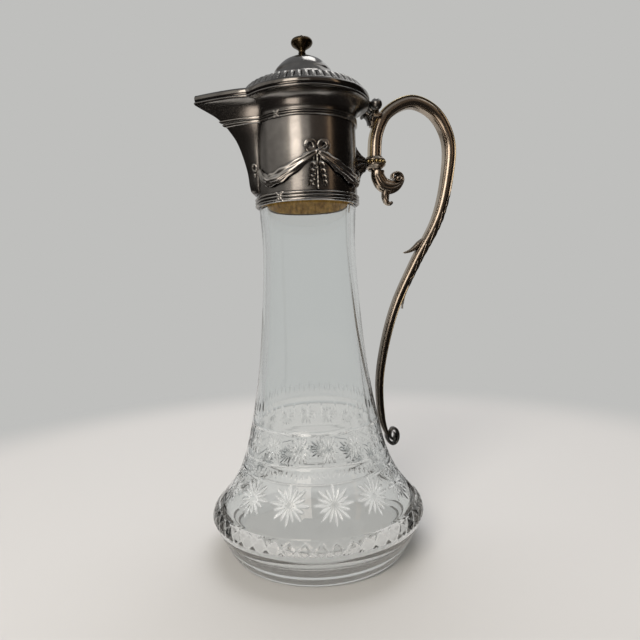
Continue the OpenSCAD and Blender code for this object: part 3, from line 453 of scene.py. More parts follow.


# Spun and raised sheet: smooth, a soft dark grey, near black in the angles under the mouth from tarnish and
# painted shade
spun_plate = silver_plate("spun_silver_plate", "#aaa7a3", "#767370", film=0.5, rough=0.21,
                         recess=0.75, reach=3)
spout_w, spout_foot_w, spout_round, spout_foot_h = 33, 13, 1.3, 6.8
spout_reach, spout_foot_z = 62, mount_z + spout_foot_h
keel_shares = smooth_line([[0, 0.03], [0.03, 0.09], [0.09, 0.12], [0.26, 0.15], [0.46, 0.23], [0.61, 0.32],
                           [0.72, 0.43], [0.8, 0.53], [0.87, 0.65], [0.92, 0.78], [0.96, 0.89], [1, 1]], 6)


def spout_half(k):
    """Half width of the spout at a share of its height: it widens slowly, then fast at the mouth."""
    return (spout_foot_w + (spout_w - spout_foot_w) * (0.3 * k + 0.7 * k ** 5)) / 2


def window_angle(z):
    """Half the angle of the sleeve's window at a height, and 0 below it."""
    k = (np.asarray(z, float) - spout_foot_z) / (rim_z - spout_foot_z)
    half = np.where(k > 0.08, spout_half(np.clip(k, 0, 1)) - sheet_t - 0.4, 0)
    return np.arcsin(half / (sleeve_r(z) - sheet_t))


def tidy(points, faces):
    """Drops the points that no face uses."""
    used = np.unique(np.concatenate([f.ravel() for f in faces]))
    number = np.zeros(len(points), int)
    number[used] = np.arange(len(used))
    return points[used], [number[f] for f in faces]


def sleeve_surface(columns=240):
    """Wall of the sleeve: on each level the columns run from one side of the window, round the back,
    to its other side, and where there is no window the two sides are the same line."""
    z = np.unique(np.concatenate([np.linspace(mount_z, flare_z, 60),
                                  flare_z + flare_h * np.sin(np.linspace(0, np.pi / 2, 22))]))
    half = window_angle(z)[:, None]
    a = np.pi + half + (2 * np.pi - 2 * half) * np.linspace(0, 1, columns)
    walls = [polar((sleeve_r(z) - drop)[:, None], a, z[:, None]) for drop in (0, sheet_t)]
    m, n = a.shape
    out = np.arange(m * n).reshape(m, n)
    inn = out + m * n
    shut = out[:-1, :1][(half[:-1, 0] <= 0) & (half[1:, 0] <= 0)].ravel()
    faces = [quads_between(out[:-1], out[1:], False), quads_between(inn[:-1], inn[1:], False)[:, ::-1],
             quads_between(inn[:1], out[:1], False), quads_between(out[-1:], inn[-1:], False)]
    open_rows = out[:-1, 0][~np.isin(out[:-1, 0], shut)]
    side = np.stack([open_rows + n, open_rows, open_rows + m * n, open_rows + m * n + n], 1)
    faces += [side, side[:, ::-1] + n - 1]
    points, faces = outward(np.vstack([wall.reshape(-1, 3) for wall in walls]), faces)
    same = np.arange(len(points))
    closed_rows = out[half[:, 0] <= 0, 0]
    for row in (closed_rows, closed_rows + m * n):
        same[row + n - 1] = row
    return tidy(points, [same[f] for f in faces])


piece("sleeve", sleeve_surface(), spun_plate, "plate", "collar_sleeve")

# Spout: sheet of the same metal, raised over a stake into a keel that runs out to a point, and
# soldered into the window of the sleeve.
def spout_point(k, v, drop):
    """Point of the spout at height share k and across share v, drawn in by drop: across, the keel
    falls away as the power curve of the plan; outwards it runs from the sleeve to the keel line."""
    z = spout_foot_z + k * (rim_z - spout_foot_z)
    w = spout_half(k) - drop
    r = sleeve_r(z) + seam
    x0 = np.sqrt(r * r - w * w)
    keel = sleeve_ro + (spout_reach - sleeve_ro) * np.interp(k, keel_shares[:, 0], keel_shares[:, 1])
    x1 = np.maximum(keel - 1.5 * drop, x0 + 0.2)
    u = 1 - np.abs(v)
    y = np.sign(v) * w * (1 - u ** (spout_round + 0.8 * (1 - k)))
    return grid(-(x0 + (x1 - x0) * u), y, z)


def shell(outer, inner):
    """Closed wall between two grids of points: both faces and a strip along each of the four edges."""
    m, n = outer.shape[:2]
    out = np.arange(m * n).reshape(m, n)
    inn = out + m * n
    return outward(np.vstack([outer.reshape(-1, 3), inner.reshape(-1, 3)]), [
        quads_between(out[:-1], out[1:], False), quads_between(inn[:-1], inn[1:], False)[:, ::-1],
        quads_between(inn[:1], out[:1], False), quads_between(out[-1:], inn[-1:], False),
        quads_between(out[:, :1].T, inn[:, :1].T, False), quads_between(inn[:, -1:].T, out[:, -1:].T, False)])


spout_k = keel_shares[:, 0][:, None]
spout_v = np.linspace(-1, 1, 49)
spout_v = 0.35 * np.sin(np.pi / 2 * spout_v) + 0.65 * spout_v
piece("spout_body", shell(spout_point(spout_k, spout_v, 0), spout_point(spout_k, spout_v, sheet_t)),
      spun_plate, "plate", "spout")

# Mouth wire: half-hard nickel-silver wire, bent to the outline of the mouth and soldered round it and
# out along both edges of the spout. It stiffens the sheet's edge, and the lid lies on it.
wire_top = box_of("mouth_wire")[1][2]
wire_d, wire_in = wire_top - rim_z, 0.5


def mouth_line(r, turns=180, runs=44):
    """Outline of the mouth: an arc that runs out into the point of the spout along a power curve."""
    w = spout_w / 2
    last = np.pi - math.asin(w / r)
    a = np.linspace(0, last - math.radians(2), turns)
    u = np.linspace(0, 1, runs)[1:]
    arc = np.stack([r * np.cos(a), r * np.sin(a)], 1)
    edge = np.stack([r * math.cos(last) * (1 - u) - spout_reach * u, w * (1 - u ** spout_round)], 1)
    half = np.vstack([arc, edge])
    return np.vstack([half, half[-2:0:-1] * [1, -1]])


def round_mouth(r, section):
    """Rings of section points (outwards, height) round the mouth, each square to its outline."""
    line = mouth_line(r)
    way = direction(line, closed=True)
    out = np.stack([way[:, 1], -way[:, 0]], 1)
    s, z = np.asarray(section, float).T
    return grid(line[:, :1] + out[:, :1] * s, line[:, 1:] + out[:, 1:] * s, z)


wire_section = np.stack([wire_d / 2 * np.cos(around(14)) - wire_in,
                         wire_d / 2 * (1 + 0.95 * np.sin(around(14))) + rim_z + seam], 1)
piece("rim_wire", skin(round_mouth(rim_r, wire_section), closed=True), spun_plate, "plate", "mouth_wire")

# Reeded bands: strip rolled with three reeds, bent round the sleeve and soldered on, with ribbons
# crossed over it at four places. The upper one stops at the spout, and two reeds carry its line on.
# Relief that is rubbed on its tops alone: pale grey there, and black in its ground from tarnish and painted
# shade
cast_plate = silver_plate("stamped_silver_plate", "#e2dfda", "#96928d", film=0.42, rough=0.2, recess=0.95)
low_band, top_band = box_of("lower_band"), box_of("upper_band")
band_out, reeds, reed_root = low_band[1][1] - sleeve_ro - seam, 3, 0.35
ribbon_half, ribbon_lean = 0.75, math.radians(38)
crossings = np.radians([-132, -48, 48, 132])


def band_rings(low, high, at):
    """Sections of a reeded band at angles round the sleeve: its face is a row of round reeds, or the
    ribbons where these stand higher, and a bead sits where two ribbons cross."""
    v, a = np.linspace(0, 1, 37)[None, :], at[:, None]
    face = band_out * (reed_root + (0.92 - reed_root) * np.abs(np.sin(np.pi * reeds * v)))
    up = (v - 0.5) * (high - low)
    for cross in crossings:
        across = (np.mod(a - cross + np.pi, 2 * np.pi) - np.pi) * sleeve_ro
        for way in (-1, 1):
            d = (across * math.cos(ribbon_lean) + way * up * math.sin(ribbon_lean)) / ribbon_half
            bar = band_out * (0.55 + 0.4 * np.sqrt(np.clip(1 - d ** 2, 0, 1)))
            face = np.where(np.abs(d) < 1, np.maximum(face, bar), face)
        bead = 1 - (across ** 2 + up ** 2) / ribbon_half ** 2
        face = np.where(bead > 0, band_out * (0.6 + 0.4 * np.sqrt(np.clip(bead, 0, 1))), face)
    r = np.hstack([0 * a, face, 0 * a]) + sleeve_ro + seam
    return polar(r, a, np.hstack([[[low]], low + v * (high - low), [[high]]]))


band_k = ((top_band[0][2] + top_band[1][2]) / 2 - spout_foot_z) / (rim_z - spout_foot_z)
band_stop = np.pi - math.asin(spout_half(band_k) / sleeve_ro) - math.radians(2.5)
low_rings = band_rings(low_band[0][2], low_band[1][2], around(720))
top_rings = band_rings(top_band[0][2], top_band[1][2], np.linspace(-band_stop, band_stop, 640))
piece("low_band", skin(low_rings, closed=True), cast_plate, "plate", "lower_band")
piece("top_band", skin(top_rings), cast_plate, "plate", "upper_band")
moulding_h = top_band[1][2] - top_band[0][2]
moulding_r = moulding_h / 4 - seam
bend = np.radians(np.linspace(-90, 90, 13))


def across_spout(z):
    """A half-round reed across the spout at a height: sections stand square on the metal."""
    v = np.linspace(-1, 1, 61)[:, None]
    k = (z + moulding_r * np.sin(bend) - spout_foot_z) / (rim_z - spout_foot_z)
    return skin(spout_point(k, v, -seam - moulding_r * np.cos(bend)))


def joined(*surfaces):
    """Several closed surfaces as one: the point numbers of each are raised by the points before it."""
    starts = np.cumsum([0] + [len(points) for points, faces in surfaces])
    return (np.vstack([points for points, faces in surfaces]),
            [f + start for (points, faces), start in zip(surfaces, starts) for f in faces])


piece("spout_reeds", joined(*[across_spout(top_band[0][2] + moulding_h * s) for s in (0.25, 0.75)]),
      cast_plate, "plate", "spout_moulding")

# Swags: cast drapery that hangs in folds from the bow to the spout and to the handle's bracket,
# sweated on to the sleeve; it is thickest where it hangs lowest.
def shares(count):
    """Shares at equal steps from 0 to 1, one in each row."""
    return np.linspace(0, 1, count)[:, None]


def laid(u, v, out):
    """Points on the near side of the sleeve: u goes round it in millimetres, v is the height and out
    the distance off the metal."""
    return polar(sleeve_ro + out, -np.pi / 2 + u / sleeve_ro, v)


def laid_sweep(line, across, out, closed=False):
    """A section carried along a line on the sleeve: across is square to the line, out off the metal."""
    way = direction(line, closed)
    return skin(laid(line[:, :1] - way[:, 1:] * across, line[:, 1:] + way[:, :1] * across, out), closed)


def both_sides(name, surfaces, nodes):
    """The same ornament on the near side and, turned half way round the axis, on the far side."""
    points, faces = joined(*surfaces)
    for side, turn in (("near", 1), ("far", -1)):
        piece(f"{name}_{side}", (points * [turn, turn, 1], faces), cast_plate, "plate", f"{nodes}_{side}")


swag_high, swag_sag, swag_w, swag_out, swag_folds = mount_z + 24.8, 12.8, 7.4, 2.9, 5
# Middle line of half a swag: degrees round the sleeve, and the drop as a share of the sag
swag_control = np.array([[1.5, -0.05], [5, 0.05], [20, 0.45], [38, 0.84], [53, 1], [64, 0.8], [71, 0.46]])


def half_swag(side):
    """Half a swag: a round bundle with grooves along it that wind slowly round, thick where it hangs
    lowest and thin at both ends."""
    line = smooth_line(swag_control, 16) * [side * math.radians(sleeve_ro), -swag_sag] + [0, swag_high]
    s, q = shares(len(line)), around(56)
    girth = 0.34 + 0.66 * np.sin(np.pi * s ** 1.2) ** 1.2
    fold = 1 - 0.3 * (0.5 + 0.5 * np.cos(swag_folds * q + 13 * s + 1.2 * np.sin(7 * s))) ** 1.3
    fold = fold * (1 - 0.1 * np.cos(43 * s + 2 * q) * np.sin(np.pi * s))
    across = swag_w / 2 * girth * fold * np.cos(q) * side
    out = seam + swag_out * girth ** 0.6 * (0.5 + 0.5 * np.sin(q) * fold)
    return laid_sweep(line, across, out)


both_sides("swag", [half_swag(-1), half_swag(1)], "swags")

# Bow: a cast ribbon tied in two loops over the middle of the swags, with a knot between them and two
# short ends, sweated on to the sleeve.
bow_z, loop_apart, loop_rise, loop_rx, loop_rz = mount_z + 25.2, 3.5, 3.0, 2.3, 2.5
ribbon_w, ribbon_out, knot_r = 2.1, 1.7, 2.0


def squared(wave, power):
    """A cosine or a sine raised to a power under 1 with its sign kept, which squares a section off."""
    return np.sign(wave) * np.abs(wave) ** power


def ribbon_section(count=14):
    """Round a ribbon's section: how far across it and how far off the metal, each from -1 to 1."""
    return squared(np.cos(around(count)), 0.6), squared(np.sin(around(count)), 0.6)


def bow_loop(side):
    """One loop: a flat ribbon round an ellipse, higher off the metal at its outer end."""
    t = around(48)[:, None]
    line = np.hstack([side * (loop_apart + loop_rx * np.cos(t)), bow_z + loop_rise + loop_rz * np.sin(t)])
    c, s = ribbon_section()
    lift = 1 + 0.25 * np.cos(t - 0.6)
    return laid_sweep(line, ribbon_w / 2 * c * (1 + 0.12 * np.sin(3 * t)),
                      seam + ribbon_out * lift * (0.5 + 0.5 * s + 0.12 * c * c), closed=True)


def strand(points, width, thick):
    """A ribbon that lies on the sleeve along a smooth line and narrows to its end."""
    line = smooth_line(points, 10)
    t = shares(len(line))
    c, s = ribbon_section()
    return laid_sweep(line, width / 2 * c * (1 - 0.45 * t), seam + thick * (1 - 0.3 * t) * (0.5 + 0.5 * s))


def knob_on_sleeve(u, v, ru, rv, out):
    """A boss on the sleeve: half an ellipsoid with ten creases that run over it."""
    rise, q = np.linspace(0.02, np.pi / 2 - 0.05, 10)[:, None], around(30)
    dent = 1 - 0.08 * np.cos(5 * q) ** 2
    return skin(laid(u + ru * np.cos(rise) * np.cos(q) * dent, v + rv * np.cos(rise) * np.sin(q) * dent,
                     seam + out * np.sin(rise)))


bow = [bow_loop(-1), bow_loop(1), knob_on_sleeve(0, bow_z, knot_r, knot_r * 0.92, 1.75),
       strand([[4.6, bow_z + 3.2], [1.2, bow_z + 0.8], [-2.4, bow_z - 1.6], [-5.2, bow_z - 3.4]], 1.3, 1.5),
       strand([[-4.4, bow_z + 2.4], [-1, bow_z + 0.6], [2.6, bow_z - 2], [5.6, bow_z - 4.2]], 1.2, 1.4)]
both_sides("bow", bow, "bow")

# Husk drops: two strings of bell-shaped husks, cast and sweated on to the sleeve, that hang from the
# bow on either side of its ribbon and grow smaller downwards.
husk_high, husk_l, husks = bow_z - 4.6, 12.2, 4


def husk(u, v, length, width, lean):
    """One husk: a bell that swells from its stem and opens into five lips, half sunk in the metal."""
    t, q = shares(12), around(25)
    wide = width / 2 * (0.22 + 0.5 * np.sin(np.pi * np.minimum(t * 1.25, 1)) ** 0.7 + 0.62 * t ** 3)
    wide = wide * (1 + 0.42 * t * np.cos(5 * q))
    down = length * t * (1 + 0.2 * t * np.cos(5 * q))
    return skin(laid(u + lean * down + wide * np.cos(q), v - down,
                     seam + 0.1 + wide * (0.62 + 0.55 * np.sin(q))))


def husk_string(side):
    """Husks one below the other, each a little smaller, on a line that leans away from the ribbon."""
    sizes = np.linspace(1.1, 0.8, husks)
    tops = husk_high - husk_l * np.concatenate([[0], np.cumsum(sizes)[:-1]]) / sizes.sum()
    string = [husk(side * (1.9 + 0.17 * (husk_high - top)), top, husk_l / husks * 1.2 * size, 4.3 * size,
                   side * 0.17) for top, size in zip(tops, sizes)]
    end = side * (1.9 + 0.17 * husk_l)
    return string + [strand([[side * 0.8, bow_z - 1.2], [side * 1.7, husk_high + 2.4],
                             [side * 1.9, husk_high - 0.4]], 1.1, 1.0),
                     knob_on_sleeve(end, husk_high - husk_l - 0.5, 0.55, 0.75, 0.8)]


both_sides("husk_strings", husk_string(-1) + husk_string(1), "husk_drops")

# Ribbon rod: the straight end of the ribbon, a cast half-round strip sweated on to the sleeve from the
# knot down to the lower band, pinched a little every few millimetres.
rod_r, rod_low = 0.65, low_band[1][2] + 0.2
rod_v = np.linspace(rod_low, bow_z - 1.6, 40)[:, None]
rod_q = around(20)
rod_swell = 1 - 0.14 * np.cos((rod_v - rod_low) * 1.35) ** 8
rod = skin(laid(rod_r * rod_swell * np.cos(rod_q), rod_v, seam + rod_r * (1 + rod_swell * np.sin(rod_q))))
both_sides("rod", [rod], "ribbon_rod")

# Spout knots: a loop of ribbon over a bead, cast in one and soldered on each flank of the spout, where
# the end of the swag is hung.
knot_v, knot_z = 0.62, mount_z + 21


def on_flank(side, p, up, out):
    """Point off the flank of the spout, from millimetres round it and up it."""
    k = (knot_z + up - spout_foot_z) / (rim_z - spout_foot_z)
    return spout_point(k, side * (knot_v + 0.11 * p), -seam - out)


def spout_knot(side):
    """The loop is a ribbon round an ellipse, the bead an ellipsoid below it."""
    t = around(40)[:, None]
    c, s = ribbon_section()
    loop = on_flank(side, 1.3 * np.cos(t) * (1 + 0.28 * c), 1.8 * np.sin(t) * (1 + 0.28 * c),
                    0.4 + 0.4 * s)
    rise, q = np.linspace(0, np.pi / 2 - 0.05, 9)[:, None], around(24)
    bead = on_flank(side, 1.1 * np.cos(rise) * np.cos(q), 1.3 * np.cos(rise) * np.sin(q) - 4,
                    1.35 * np.sin(rise))
    return joined(skin(loop, closed=True), skin(bead))


for side, way in (("near", -1), ("far", 1)):
    piece(f"flank_knot_{side}", spout_knot(way), cast_plate, "plate", f"spout_knot_{side}")

# Handle bracket: a cast acanthus leaf that wraps the sleeve and reaches out to the handle's ring. It is
# soldered to both, and its plate is dark, darkest between the flutes from tarnish and painted shade.
# A darker cast plate: nearly black, with a dull shine on the flutes
dark_casting = silver_plate("dark_cast_plate", "#86837f", "#454342", film=0.55, rough=0.24, recess=0.9)
ring_low_corner, ring_high_corner = box_of("handle_ring")
ring_r = (ring_high_corner[1] - ring_low_corner[1]) / 2
limb_x = (ring_low_corner[0] + ring_high_corner[0]) / 2
ring_z, ring_top, ring_low = mount_z + 26.4, ring_high_corner[2], ring_low_corner[2]


def bracket_surface(flutes=9, frills=4):
    """The leaf, from sections that shrink from the sleeve to the ring: flutes run along it, and its
    edge is frilled, most near the sleeve."""
    t, q = shares(48), around(108)
    spread = (1 - t) ** 1.6
    top = ring_z + 3.4 + (mount_z + 37.6 - ring_z - 3.4) * spread
    low = ring_z - 5.8 + (mount_z + 10 - ring_z + 5.8) * (1 - t) ** 2.2
    wide = 4.2 + 3.4 * spread
    frill = 0.09 * np.abs(np.sin(frills * np.pi * t + np.sin(q))) * (0.35 + 0.65 * spread)
    flute = 1 - 0.11 * np.abs(np.cos(flutes * q)) ** 3 - frill
    y = wide * flute * np.cos(q)
    z = (top + low) / 2 + (top - low) / 2 * flute * np.sin(q)
    near = np.sqrt((sleeve_ro + seam) ** 2 - y * y)
    below_ring = 3 + (ring_r + seam - 3) * np.clip((z - ring_z + 12) / 8.8, 0, 1)
    cup = np.where(z > ring_z - 3.2, ring_r + seam, below_ring)
    far = limb_x - np.sqrt(np.maximum(cup ** 2 - y * y, 0.3))
    return skin(grid(near + (far - near) * np.clip(t / 0.97, 0, 1), y, z))


piece("bracket", bracket_surface(), dark_casting, "dark_plate", "handle_bracket", crease=60)

# Beaded ring: turned, with a row of beads chased round it and rubbed bright. It crowns the bracket
# and is the root from which the handle springs.
def ball(centre, radius, rows=10, columns=16):
    """A sphere, as rings between its two poles."""
    rise = np.linspace(-np.pi / 2, np.pi / 2, rows + 2)[1:-1, None]
    return skin(np.asarray(centre) + radius * polar(np.cos(rise), around(columns), np.sin(rise)))


# Cast and handled: the tarnish turns yellowish and the base metal shows warm where it is rubbed bare,
# and the colour is darkened towards the bottom of the long sweep below
handle_metal = silver_plate("worn_cast_plate", "#d2c5b6", "#958878", film=0.5, rough=0.22, recess=0.85,
                            worn="#dcc48a", wear=0.8, dim_below=(95, 175, 0.3))
bead_r, ring_beads = 1.15, 15
ring_profile = smooth_line([[3.8, ring_low], [4.2, ring_low + 0.8], [5.2, ring_low + 1.6],
                            [ring_r - 0.6, ring_z - 2], [ring_r - 0.4, ring_z - 1.3],
                            [ring_r - 1.15, ring_z - 0.9], [ring_r - 1.15, ring_z + 0.9],
                            [ring_r - 0.5, ring_z + 1.2], [ring_r - 0.8, ring_z + 1.9],
                            [5.6, ring_z + 2.1], [5.2, ring_top]], 5)
ring_body = skin(turned(ring_profile, 96) + [limb_x, 0, 0])
beads = [ball(at + [limb_x, 0, 0], bead_r) for at in polar(ring_r - bead_r, around(ring_beads), ring_z)]
ring = joined(ring_body, *beads)
piece("bead_ring", ring, handle_metal, "worn_plate", "handle_ring",
      worked=1.0 * (np.arange(len(ring[0])) >= len(ring_body[0])))

# Handle: cast in two halves and soldered, a tapering bar with a rounded rib along its outer and inner
# faces and a swelling side between two grooves, bent into a loop and a long sweep down to the glass.
# The plate is worn warm.
loop_x, loop_top, tail_w, tail_t, whorl_t = 90.3, wire_top + 5, 4.6, 3.7, 2.1
handle_t, handle_w = 7.4, 8.0
volute_rx, volute_rz, volute_z = 5.4, 7.4, mount_z - 141.3
volute_x = glass_r(volute_z - 5) + volute_rx + 1


def volute_path(steps):
    """Middle line of the volute: an oval spiral whose size falls off as it winds in."""
    s = np.linspace(0, 1, steps)
    turn = np.radians(170 + 620 * s)
    f = 1 - 0.8 * s ** 0.85
    return np.stack([volute_x + (volute_rx - whorl_t / 2) * f * np.cos(turn),
                     volute_z + (volute_rz - whorl_t / 2) * (f + (1 - f) * 0.25 * (1 - s)) * np.sin(turn)], 1)


def fall(s):
    """Height at a share of the way from the ring down to the volute."""
    return ring_z + (volute_z - ring_z) * s


volute_line = volute_path(113)
loop_reach = loop_x - limb_x
handle_points = [[limb_x, ring_top + seam], [limb_x + 1.6, ring_z + 17], [limb_x + 8.6, loop_top - 7.2],
                 [(limb_x + loop_x) / 2, loop_top], [limb_x + 0.82 * loop_reach, loop_top - 6.4],
                 [loop_x, ring_z + 14], [loop_x - 1, ring_z - 7], [limb_x + 0.83 * loop_reach, fall(0.2)],
                 [limb_x + 0.51 * loop_reach, fall(0.36)], [limb_x + 0.24 * loop_reach, fall(0.51)],
                 [glass_r(fall(0.653)) + 14.6, fall(0.653)], [glass_r(fall(0.795)) + 7.1, fall(0.795)],
                 [glass_r(fall(0.925)) + 3.6, fall(0.925)], volute_line[0] + [0, seam]]
spans = len(handle_points) - 1
handle_line = smooth_line(handle_points, 32)
handle_at = np.linspace(0, 1, len(handle_line))


def bar_size(at):
    """Half thickness and half width of the bar at a share of its length: both shrink over the lower
    part, and the last span narrows to the volute's whorl."""
    s = np.clip((at - 0.42) / 0.58, 0, 1) ** 0.8
    last = np.clip((at - 1) * spans + 1, 0, 1)
    thick = handle_t + (tail_t - handle_t) * s
    return (thick + (whorl_t - thick) * last) / 2, (handle_w + (tail_w - handle_w) * s) / 2


def in_plane(line, thick, wide, out, across):
    """A section carried along a line in the plane of the handle: out is square to the line, away from
    the inside of the loop, and across is along Y."""
    way, a = direction(line), out * thick
    return grid(line[:, :1] - way[:, 1:] * a, across * wide, line[:, 1:] + way[:, :1] * a)


bar_half = smooth_line([[1, 0], [1, 0.38], [0.96, 0.66], [0.86, 0.82], [0.76, 0.8], [0.66, 0.74],
                        [0.54, 0.83], [0.3, 0.96], [0, 1], [-0.3, 0.96], [-0.54, 0.83], [-0.66, 0.74],
                        [-0.76, 0.8], [-0.86, 0.8], [-0.96, 0.66], [-1, 0.38], [-1, 0]], 4)
bar = np.vstack([bar_half, bar_half[-2:0:-1] * [1, -1]])
bar_thick, bar_wide = (size[:, None] for size in bar_size(handle_at))
handle_rings = in_plane(handle_line, bar_thick, bar_wide, *bar.T)
# The first ring lies level on the beaded ring
handle_rings[0] = grid(handle_line[0, 0] - bar[:, 0] * bar_thick[0], bar[:, 1] * bar_wide[0],
                       handle_line[0, 1])
crown_edge = np.exp(-((bar[:, 0] - 0.88) / 0.12) ** 2)
piece("handle", skin(handle_rings), handle_metal, "worn_plate", "handle_loop", crease=85,
      worked=np.broadcast_to(crown_edge, handle_rings.shape[:2]))

# Acanthus leaf: chased out of the casting on the outer face of the handle, where the loop turns down;
# its veins run out to a toothed edge, and its tip lifts off the bar.
leaf_start, leaf_end, leaf_teeth = 24.5 / 52, 36.2 / 52, 8


def leaf_surface(rows=200, columns=33):
    """Leaf over the crown of the bar: chevron veins, teeth along both edges, and a lifted tip."""
    s, c = shares(rows), np.linspace(-1, 1, columns)
    at = leaf_start + (leaf_end - leaf_start) * s[:, 0]
    line = np.stack([np.interp(at, handle_at, column) for column in handle_line.T], 1)
    thick, wide = (size[:, None] for size in bar_size(at))
    tooth = 1 - 0.3 * ((s * leaf_teeth) % 1) * np.clip(4 * s, 0, 1)
    body = np.sin(np.pi * (0.06 + 0.9 * s)) ** 0.5
    reach = tooth * np.clip(body, 0.42, 1) * 1.22 * c
    # The leaf lies on the crown of the bar and bends over its rib
    over = np.interp(np.abs(reach), [0, 0.4, 0.7, 0.9, 1.22], [0, 0.42, 0.8, 0.96, 1.05]) * np.sign(c)
    out = np.interp(np.abs(reach), [0, 0.4, 0.7, 0.9, 1.22], [1.0, 1.0, 0.86, 0.5, -0.1])
    vein = 0.5 + 0.5 * np.cos(2 * np.pi * (2 * s * leaf_teeth - 1.1 * np.abs(c)))
    height = (0.16 + 0.3 * vein + 0.35 * np.exp(-(c / 0.12) ** 2)) * (1 - 0.5 * np.abs(c)) + 0.06
    lift = 2 * np.clip((s - 0.87) / 0.13, 0, 1) ** 1.5
    low = in_plane(line, thick, wide, out + (seam + lift) / thick, over * (1 + seam / wide))
    high = in_plane(line, thick, wide, out + (seam + lift + height) / thick,
                    over * (1 + (seam + 0.6 * height) / wide))
    return shell(high, low), (height - 0.15) / 0.5


leaf_shape, leaf_rubbed = leaf_surface()
piece("acanthus_leaf", leaf_shape, handle_metal, "worn_plate", "handle_leaf", crease=70,
      worked=leaf_rubbed)

# Leaf tip: a small leaf, cast with the handle, that springs from its inner face towards the jug, across
# the bar from the acanthus leaf.
thorn_share = 30 / 52
thorn_k = np.argmin(np.abs(handle_at - thorn_share))
thorn_root = handle_line[thorn_k]
thorn_way = handle_line[thorn_k + 1] - thorn_root
thorn_way /= np.linalg.norm(thorn_way)
thorn_h = bar_size(thorn_share)[0]
thorn_line = smooth_line([[0, -thorn_h + 0.6], [5, -thorn_h - 0.5], [10.5, -thorn_h - 2.7],
                          [14.3, -thorn_h - 6]], 10)
thorn_s = shares(len(thorn_line))
thorn_s = (1 - 0.76 * thorn_s ** 1.3) * np.minimum(1, 0.3 + 2.4 * thorn_s)
thorn_q = around(24)
thorn_u = thorn_line[:, :1] + 0.5 * thorn_s * np.cos(thorn_q)
thorn_v = thorn_line[:, 1:] + 2.2 * thorn_s * np.cos(thorn_q) * (1 - 0.25 * np.sin(thorn_q) ** 8)
thorn = grid(thorn_root[0] + thorn_way[0] * thorn_u - thorn_way[1] * thorn_v, 2.5 * thorn_s * np.sin(thorn_q),
             thorn_root[1] + thorn_way[1] * thorn_u + thorn_way[0] * thorn_v)
piece("leaf_tip", skin(thorn), handle_metal, "worn_plate", "handle_thorn", crease=60)

# Volute: the lower end of the handle, drawn down thinner and rolled up into an oval scroll. It stands
# free beside the glass, about a millimetre off it.
volute_s = shares(len(volute_line))
volute_rings = in_plane(volute_line, whorl_t / 2 + (0.6 - whorl_t / 2) * volute_s,
                        tail_w / 2 + (1.5 - tail_w / 2) * volute_s, *bar.T)
piece("volute", skin(volute_rings), dark_casting, "dark_plate", "handle_volute", crease=60)

# Drop scroll: a thick cast leaf below the ring that sweeps out into a volute with a boss for its eye;
# veins are chased along it, and a short tail curls out under it.
drop_top, drop_out, drop_low, drop_w, eye_r = np.array([limb_x + 0.4, ring_low - seam]), 15, 20, 3.8, 2.0
# Stations of the middle lines: reach and drop as shares, and half the thickness
leaf_stations = [[0.11, 0, 4], [0.11, 0.17, 4.3], [0.28, 0.385, 4.6], [0.57, 0.475, 4.5],
                 [0.88, 0.445, 3.1], [1.1, 0.29, 1.6], [1.07, 0.13, 1.3], [0.91, 0.06, 1.2],
                 [0.74, 0.11, 1.1], [0.71, 0.22, 1]]
tail_stations = [[0.42, 0.6, 2.5], [0.4, 0.78, 2.4], [0.44, 0.93, 1.8], [0.57, 0.98, 1.3],
                 [0.68, 0.94, 0.9]]
eye_at = drop_top + np.array([0.91, -0.23]) * [drop_out, drop_low]


def drop_stem(stations, steps, wide, veins, deep):
    """A round stem along its stations, as thick as they say, with veins cut along it that wind with the
    line: round the section the surface falls by the sharp cosine of each vein."""
    table = smooth_line(np.array(stations) * [drop_out, -drop_low, 1] + [*drop_top, 0], steps)
    line, thick = table[:, :2], table[:, 2:]
    s, q = shares(len(line)), around(72)
    fade = np.sin(np.pi * np.clip(s * 1.05, 0, 1))
    dent = 1 - deep * (0.5 + 0.5 * np.cos(veins * (q - 1.1 * s))) ** 4 * fade
    rings = in_plane(line, thick, wide[0] + (wide[1] - wide[0]) * s, np.cos(q) * dent, np.sin(q) * dent)
    rings[0, :, 2] = line[0, 1]
    return skin(rings)


def turned_across(profile, columns, x, z, way=1):
    """Rings of a shape turned about an axis along Y: each point gives a radius and a place along Y."""
    rings = turned(profile, columns)
    return grid(rings[..., 0] + x, way * rings[..., 2], rings[..., 1] + z)


def drop_boss():
    """The eye of the volute: a boss on each side of it, hollowed round a bead."""
    profile = [[0.3, -1.06], [0.9, -1.0], [1.25, -0.92], [1.5, -1.03], [1.85, -1.03], [eye_r, -0.9],
               [eye_r, 0.9], [1.85, 1.03], [1.5, 1.03], [1.25, 0.92], [0.9, 1.0], [0.3, 1.06]]
    return skin(turned_across(np.array(profile) * [1, drop_w * 0.97], 40, *eye_at))


piece("drop_leaf", joined(drop_stem(leaf_stations, 12, (drop_w, drop_w * 0.75), 9, 0.14),
                          drop_stem(tail_stations, 8, (2.6, 1.6), 6, 0.12), drop_boss()),
      handle_metal, "worn_plate", "handle_drop_scroll", crease=60)

# Strap: a forged strip of nickel silver that ties the top of the handle's limb to the flare of the
# sleeve, soldered at both ends.
strap_line = smooth_line([[rim_r - 2.7, rim_z - 3.4], [rim_r - 0.8, rim_z - 2.5], [limb_x - 3.2, rim_z - 4.4],
                          [limb_x - 2.5, rim_z - 7.4]], 10)
strap_t, strap_w = 2.1, 5.8
strap = skin(in_plane(strap_line, strap_t / 2, strap_w / 2, squared(np.cos(around(32)), 0.7),
                      np.sin(around(32))))
piece("strap", strap, dark_casting, "dark_plate", "hinge_strap")

